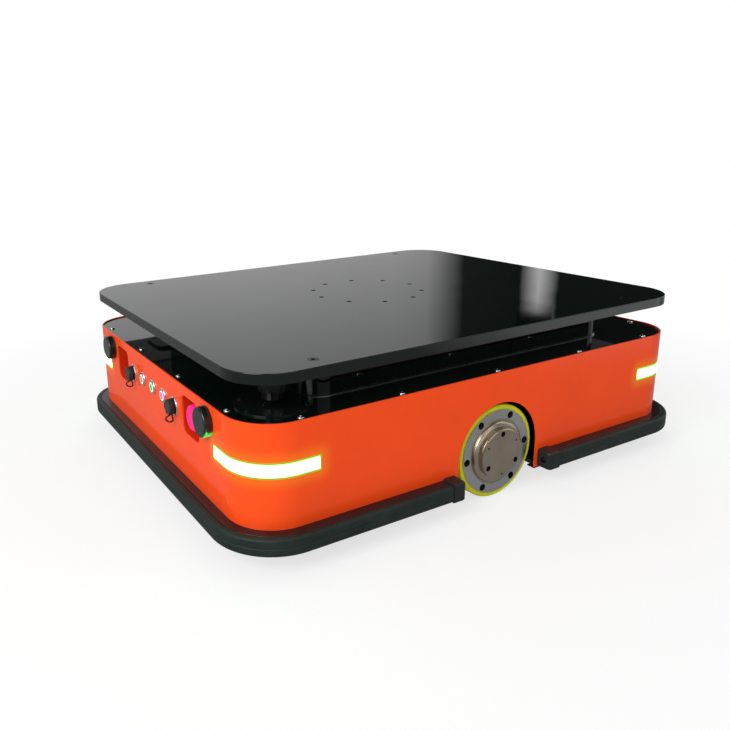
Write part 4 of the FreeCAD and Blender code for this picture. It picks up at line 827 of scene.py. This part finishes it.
# %% Dust caps and straps
COLLAR = 2.4
for side, _ in SIDES:
    node = "connector_cap_" + side
    low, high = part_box(node)
    length = (high.x - low.x) / MM
    profile = ([(9.1, 0), (10.1, 0), (10.1, COLLAR), (11.2, COLLAR), (11.5, COLLAR + 0.3)]
               + arc(10.5, length - 1.0, 1.0, 0, 90, 4)
               + [(9.4, length), (8.8, length - 0.7), (0, length - 0.7),
                  (0, length - 2.4), (9.1, length - 2.4)])
    grip = bar(-0.5, 0.5, 1.1, COLLAR + 0.6, length - 1.4, bevel=0.25)
    cap = joined([turned(profile, steps=72, capped=True), ribs_round(grip, 24, 11.45, dust_cap)])
    on_panel(cap, high.x, low, high)
    piece("dust_cap_" + side, cap, "socket_cap_" + side, [dust_cap], [node])

STRAND = 1.25 * MM
RING_DOWN = 12.0 * MM  # from the strap's highest point to the ring's middle
RING_RADIUS = 11.4 * MM
LOOP_HALF = 4.8 * MM
LOOP_LIFT = 5.5 * MM  # the loop swings out from the panel, so it ends a little higher
straps = []
for low, high in solids_of("cap_tethers"):
    middle = (low + high) / 2
    top_z = high.z - RING_DOWN
    ring = turned([(10.4, -0.9), (11.9, -0.9), (12.0, -0.7), (12.0, 0.7), (11.9, 0.9),
                   (10.4, 0.9)], steps=64, closed=True)
    ring.transform(facing((-1, 0, 0), (middle.x, middle.y, top_z)))
    loop_top = top_z - RING_RADIUS
    drop = loop_top - (low.z + LOOP_LIFT + STRAND)
    points = []  # narrow at the top, wide below, and bent out of the panel
    for k in range(48):
        angle = 2 * math.pi * k / 48
        fall = (1 - math.cos(angle)) / 2
        side = math.sin(angle) * (0.3 + 0.85 * fall ** 0.8)
        out = LOOP_HALF * (1.15 + side) * min(1.0, 2.2 * fall)
        points.append((middle.x - out, middle.y + LOOP_HALF * side, loop_top - drop * fall))
    strand = wire([(x, y, 0) for x, y in arc(0, 0, STRAND, 0, 330, 11)], True)
    loop = grown(sweep_tree, wire(points, True), Profile=sample(strand), Corner_radius=0.0,
                 Corner_steps=1, Finish=tether_rubber)
    straps += [ring, loop]
piece("cap_straps", joined(straps), "chassis", [tether_rubber],
      ["cap_tethers"])

# %% [markdown]
# ## Push buttons
# A polished stainless bezel holds a button with a white ring and a coloured lens, both with a
# painted glow.  The bezel and the button are both turned shapes.  The lens lies a little deeper
# than the ring, so the ring catches the light.

# %% Bezels and buttons
PROUD = 2.4  # how far a bezel stands out of the panel
bezel_profile = ([(8.05, -20), (10.9, -20), (10.9, 0), (11.9, 0), (12.0, 0.2)]
                 + arc(10.6, 1.0, 1.4, 0, 90, 5) + [(9.0, PROUD), (8.3, 2.1), (8.05, 1.6)])
bezels = []
for low, high in solids_of("button_bezels"):
    bezel = turned(bezel_profile, steps=72, closed=True)
    on_panel(bezel, low.x + PROUD * MM, low, high)
    bezels.append(bezel)
piece("button_bezels_turned", joined(bezels), "chassis", [polished_steel],
      ["button_bezels"])
for name, slot, lens in (("start", "button_white", lens_white),
                         ("status", "button_green", lens_green),
                         ("reset", "button_pink", lens_pink)):
    node = "button_" + name
    low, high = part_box(node)
    length = (high.x - low.x) / MM
    profile = [(0, 0), (8, 0), (8, length - 0.8), (7.7, length - 0.2), (7.2, length),
               (6.3, length), (6.0, length - 0.2), (5.9, length - 0.6), (4, length - 0.35),
               (0, length - 0.2)]
    button = turned(profile, steps=60, finishes=[1, 1, 1, 0, 0, 1, 1, 1, 1])
    on_panel(button, high.x, low, high)
    # The ring and the lens carry a painted glow, not light from a lamp.
    piece("lit_button_" + name, button, "push_button_" + name, [lens_ring, lens], [node])

# %% [markdown]
# ## Emergency stop and main switch
# The mushroom head has a dished face and flutes round its rim for the fingers.  The main switch
# has a grip with a white line filled into it, which shows where it points.

# %% Mushroom head
low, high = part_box("estop_head")
length = (high.x - low.x) / MM
face = length - 13.0  # underside of the mushroom
head_profile = ([(5.1, 0), (8.8, 0), (9, 0.2), (9, face - 0.6), (9.6, face)]
                + arc(17.6, face + 2.0, 2.0, -90, 0, 4)
                + arc(14.2, length - 5.6, 5.6, 0, 80, 8)
                + [(13.6, length - 0.05), (9, length - 0.7), (4, length - 1.0),
                   (0, length - 1.1)])
flute = bar(-0.6, 0.45, 1.6, face + 1.8, length - 5.0, bevel=0.35)
head = joined([turned(head_profile, steps=96, capped=True),
               ribs_round(flute, 36, 19.5, estop_red)])
on_panel(head, high.x, low, high)
piece("mushroom_head", head, "estop_mushroom", [estop_red], ["estop_head"])

# %% Index line of the main switch
low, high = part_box("power_switch_knob")
line = bar(0, 0.25, 1.2, 1.5, 8.6, bevel=0.08)
line.transform(Matrix.Translation((low.x - 0.1 * MM, (low.y + high.y) / 2,
                                   (low.z + high.z) / 2)))
piece("switch_index_line", line, "power_selector", [index_paint])

# %% [markdown]
# ## Camera
# The camera stands low at the near left corner and looks slightly down, with a moderate lens.
# A small shift frames the robot without turning the camera.

# %% Camera
EYE = (-0.7721, -1.0618, 0.5423)
camera_data = bpy.data.cameras.new("camera")
camera = placed("camera", camera_data)
forward = Vector((0.4704, 0.8428, -0.2617)).normalized()
right = Vector((0.8697, -0.4930, -0.0247))
right = (right - right.dot(forward) * forward).normalized()
turn = Matrix((right, right.cross(forward), -forward)).transposed()
camera.matrix_world = Matrix.Translation(EYE) @ turn.to_4x4()
camera_data.sensor_width = 36.0
camera_data.lens = 35.29
camera_data.shift_x = 0.1113
camera_data.shift_y = -0.0417
camera_data.clip_start = 0.01
scene.camera = camera
print("camera", camera_data.lens, "mm at", EYE)

# %% [markdown]
# ## Studio
# A gloss black plate shows nothing but its surroundings, so the surroundings are part of the
# picture.  The world is white to the camera and a plain half-bright grey as a light.  What
# polished surfaces see of it is white too, with a few dark curtains standing round the studio.
# A curtain covers a range of compass directions, so its edge is a straight line in the plate.
# Two curtains leave a narrow slit, which shows as a bright streak.

# %% World with curtains
scene.view_settings.view_transform = "Standard"
world = bpy.data.worlds.new("studio")
scene.world = world
world.use_nodes = True
tree = world.node_tree
tree.nodes.clear()
CURTAINS = [  # compass direction in degrees and brightness, going round
    (-180, 1.0), (-150, 1.0), (-149.5, 0.12), (-118, 0.12), (-117.5, 0.9), (-62, 1.0),
    (-61.5, 0.12), (-33, 0.12), (-32.5, 1.0), (14, 1.0), (14.6, 0.012), (40.0, 0.012),
    (40.5, 0.95), (41.5, 1.0), (41.9, 0.012), (47.3, 0.02), (48.3, 0.52), (52, 0.62), (59, 0.69),
    (63, 0.72), (118, 0.85), (118.5, 0.12), (150, 0.12), (150.5, 1.0)]
SLIT = (40.95, 1.3)  # compass direction and half width of the slit between two curtains
SLIT_TOP = (12.4, 13.6)  # degrees above the horizon between which the slit ends
LIGHT_LEVEL = 0.55
view = add(tree, "TexCoord").outputs["Generated"]
way = add(tree, "SeparateXYZ", {0: view})
compass = add(tree, "Math", {0: way.outputs["Y"], 1: way.outputs["X"]}, operation="ARCTAN2")
compass = add(tree, "MapRange", {"Value": compass, "From Min": -math.pi, "From Max": math.pi})
drapes = add(tree, "ValToRGB", {"Fac": compass})
stops = drapes.color_ramp.elements
while len(stops) > 1:
    stops.remove(stops[-1])
for index, (angle, level) in enumerate(CURTAINS):
    stop = stops[0] if index == 0 else stops.new((angle + 180) / 360)
    stop.position = (angle + 180) / 360
    stop.color = (level, level, level, 1.0)
above = add(tree, "Math", {0: way.outputs["Z"]}, operation="ARCSINE")
over_slit = add(tree, "MapRange", {"Value": above, "From Min": math.radians(SLIT_TOP[0]),
                                   "From Max": math.radians(SLIT_TOP[1])})
in_slit = add(tree, "Math", {0: compass, 1: (SLIT[0] + 180) / 360, 2: SLIT[1] / 360},
              operation="COMPARE")
shut = add(tree, "Math", {0: over_slit, 1: in_slit}, operation="MULTIPLY")
ajar = add(tree, "Math", {0: 1.0, 1: shut}, operation="SUBTRACT")
drape_level = add(tree, "Math", {0: drapes, 1: ajar}, operation="MULTIPLY")
rays = add(tree, "LightPath").outputs
mirrored = add(tree, "Math", {0: rays["Is Glossy Ray"], 1: rays["Is Transmission Ray"]},
               operation="MAXIMUM")
plain = add(tree, "MapRange", {"Value": rays["Is Camera Ray"], "To Min": LIGHT_LEVEL,
                               "To Max": 1.0})
level = add(tree, "Mix", {"Factor": mirrored, 2: plain, 3: drape_level})
sky = add(tree, "Background", {"Color": (1, 1, 1, 1), "Strength": level})
add(tree, "OutputWorld", {"Surface": sky})
print("curtain stops:", len(CURTAINS))

# %% [markdown]
# ## Floor
# The floor is white vinyl.  Near the robot it is lit like everything else, so it keeps the soft
# shadow.  Further out it fades to plain white for the camera.  What polish mirrors of it is a
# painted mid grey, darker than the floor the camera sees, so the paint keeps its full colour
# near the floor.  Beyond the right front corner a painted patch of light makes the floor mirror
# brightly.

# %% Floor
FLOOR_HALF = 6.0
NEAR, FAR = 0.5, 1.2  # between these distances the floor fades to plain white
NEAR_SHARE = 0.7  # how much of the near floor is plain white already
# What polish mirrors of the floor is a painted grey, darker than the floor itself.
PAINTED_FLOOR_REFLECTION = 0.3
# A painted patch of light in the floor, seen only in reflections.
PAINTED_LIGHT_PATCH = 1.1
# The daylight named below is a painted patch of light, which rises between these two lines.
PAINTED_LIGHT_PATCH_X = (0.4, 0.85)  # the daylight rises between these two lines
PAINTED_LIGHT_PATCH_Y = (-0.65, -0.85)
shape = bmesh.new()
bmesh.ops.create_grid(shape, x_segments=1, y_segments=1, size=FLOOR_HALF)
floor = placed("floor", mesh_from(shape, "floor"))
floor_look, tree, place = empty_material("Studio floor, white vinyl")
rays = add(tree, "LightPath").outputs
reach = add(tree, "VectorMath", {0: place}, operation="LENGTH").outputs["Value"]
away = add(tree, "MapRange", {"Value": reach, "From Min": NEAR, "From Max": FAR,
                              "To Min": NEAR_SHARE})
seen = add(tree, "Math", {0: rays["Is Camera Ray"], 1: rays["Is Transmission Ray"]},
           operation="MAXIMUM")
mask = add(tree, "Math", {0: seen, 1: away}, operation="MULTIPLY")
mask = add(tree, "Math", {0: mask, 1: rays["Is Glossy Ray"]}, operation="MAXIMUM")
spot = add(tree, "SeparateXYZ", {0: place}).outputs
ahead, aside = (
    add(tree, "MapRange", {"Value": spot[axis], "From Min": start, "From Max": end})
    for axis, (start, end) in (("X", PAINTED_LIGHT_PATCH_X), ("Y", PAINTED_LIGHT_PATCH_Y)))
patch = add(tree, "Math", {0: ahead, 1: aside}, operation="MULTIPLY")
# Painted reflection: reflections see the floor as grey, with a painted patch of light.
painted_reflection_level = add(tree, "MapRange", {"Value": patch, "To Min": PAINTED_FLOOR_REFLECTION, "To Max": PAINTED_LIGHT_PATCH})
bright = add(tree, "Mix", {"Factor": rays["Is Glossy Ray"], 2: 1.0, 3: painted_reflection_level})
matt = add(tree, "BsdfDiffuse", {"Color": (0.9, 0.9, 0.9, 1)})
white = add(tree, "Emission", {"Color": (1, 1, 1, 1), "Strength": bright})
mixed = add(tree, "MixShader", {"Fac": mask, 1: matt, 2: white})
add(tree, "OutputMaterial", {"Surface": mixed})
floor.data.materials.append(floor_look)
print("floor:", FLOOR_HALF * 2, "m across")

# %% [markdown]
# ## Lamps of the studio
# Two large soft boxes: a key from the left front, which models the near corner, and a weaker
# fill from the right.  They are large and far, so shadows stay soft.

# %% Soft boxes
def softbox(name, position, target, size, power):
    """A square area light that faces a point."""
    data = bpy.data.lights.new(name, "AREA")
    data.size = size
    data.energy = power
    light = placed(name, data)
    aim = Vector(target) - Vector(position)
    turn = aim.to_track_quat("-Z", "Y").to_matrix().to_4x4()
    light.matrix_world = Matrix.Translation(position) @ turn
    return light


ROBOT = (0, 0, 0.1)
softbox("key", (-2.4, -1.1, 1.7), ROBOT, 1.6, 60)
fill = softbox("fill", (1.8, -2.0, 1.4), ROBOT, 1.5, 8)
fill.visible_glossy = False  # else it would show as a grey veil in the gloss under the plate
print("soft boxes: 2")
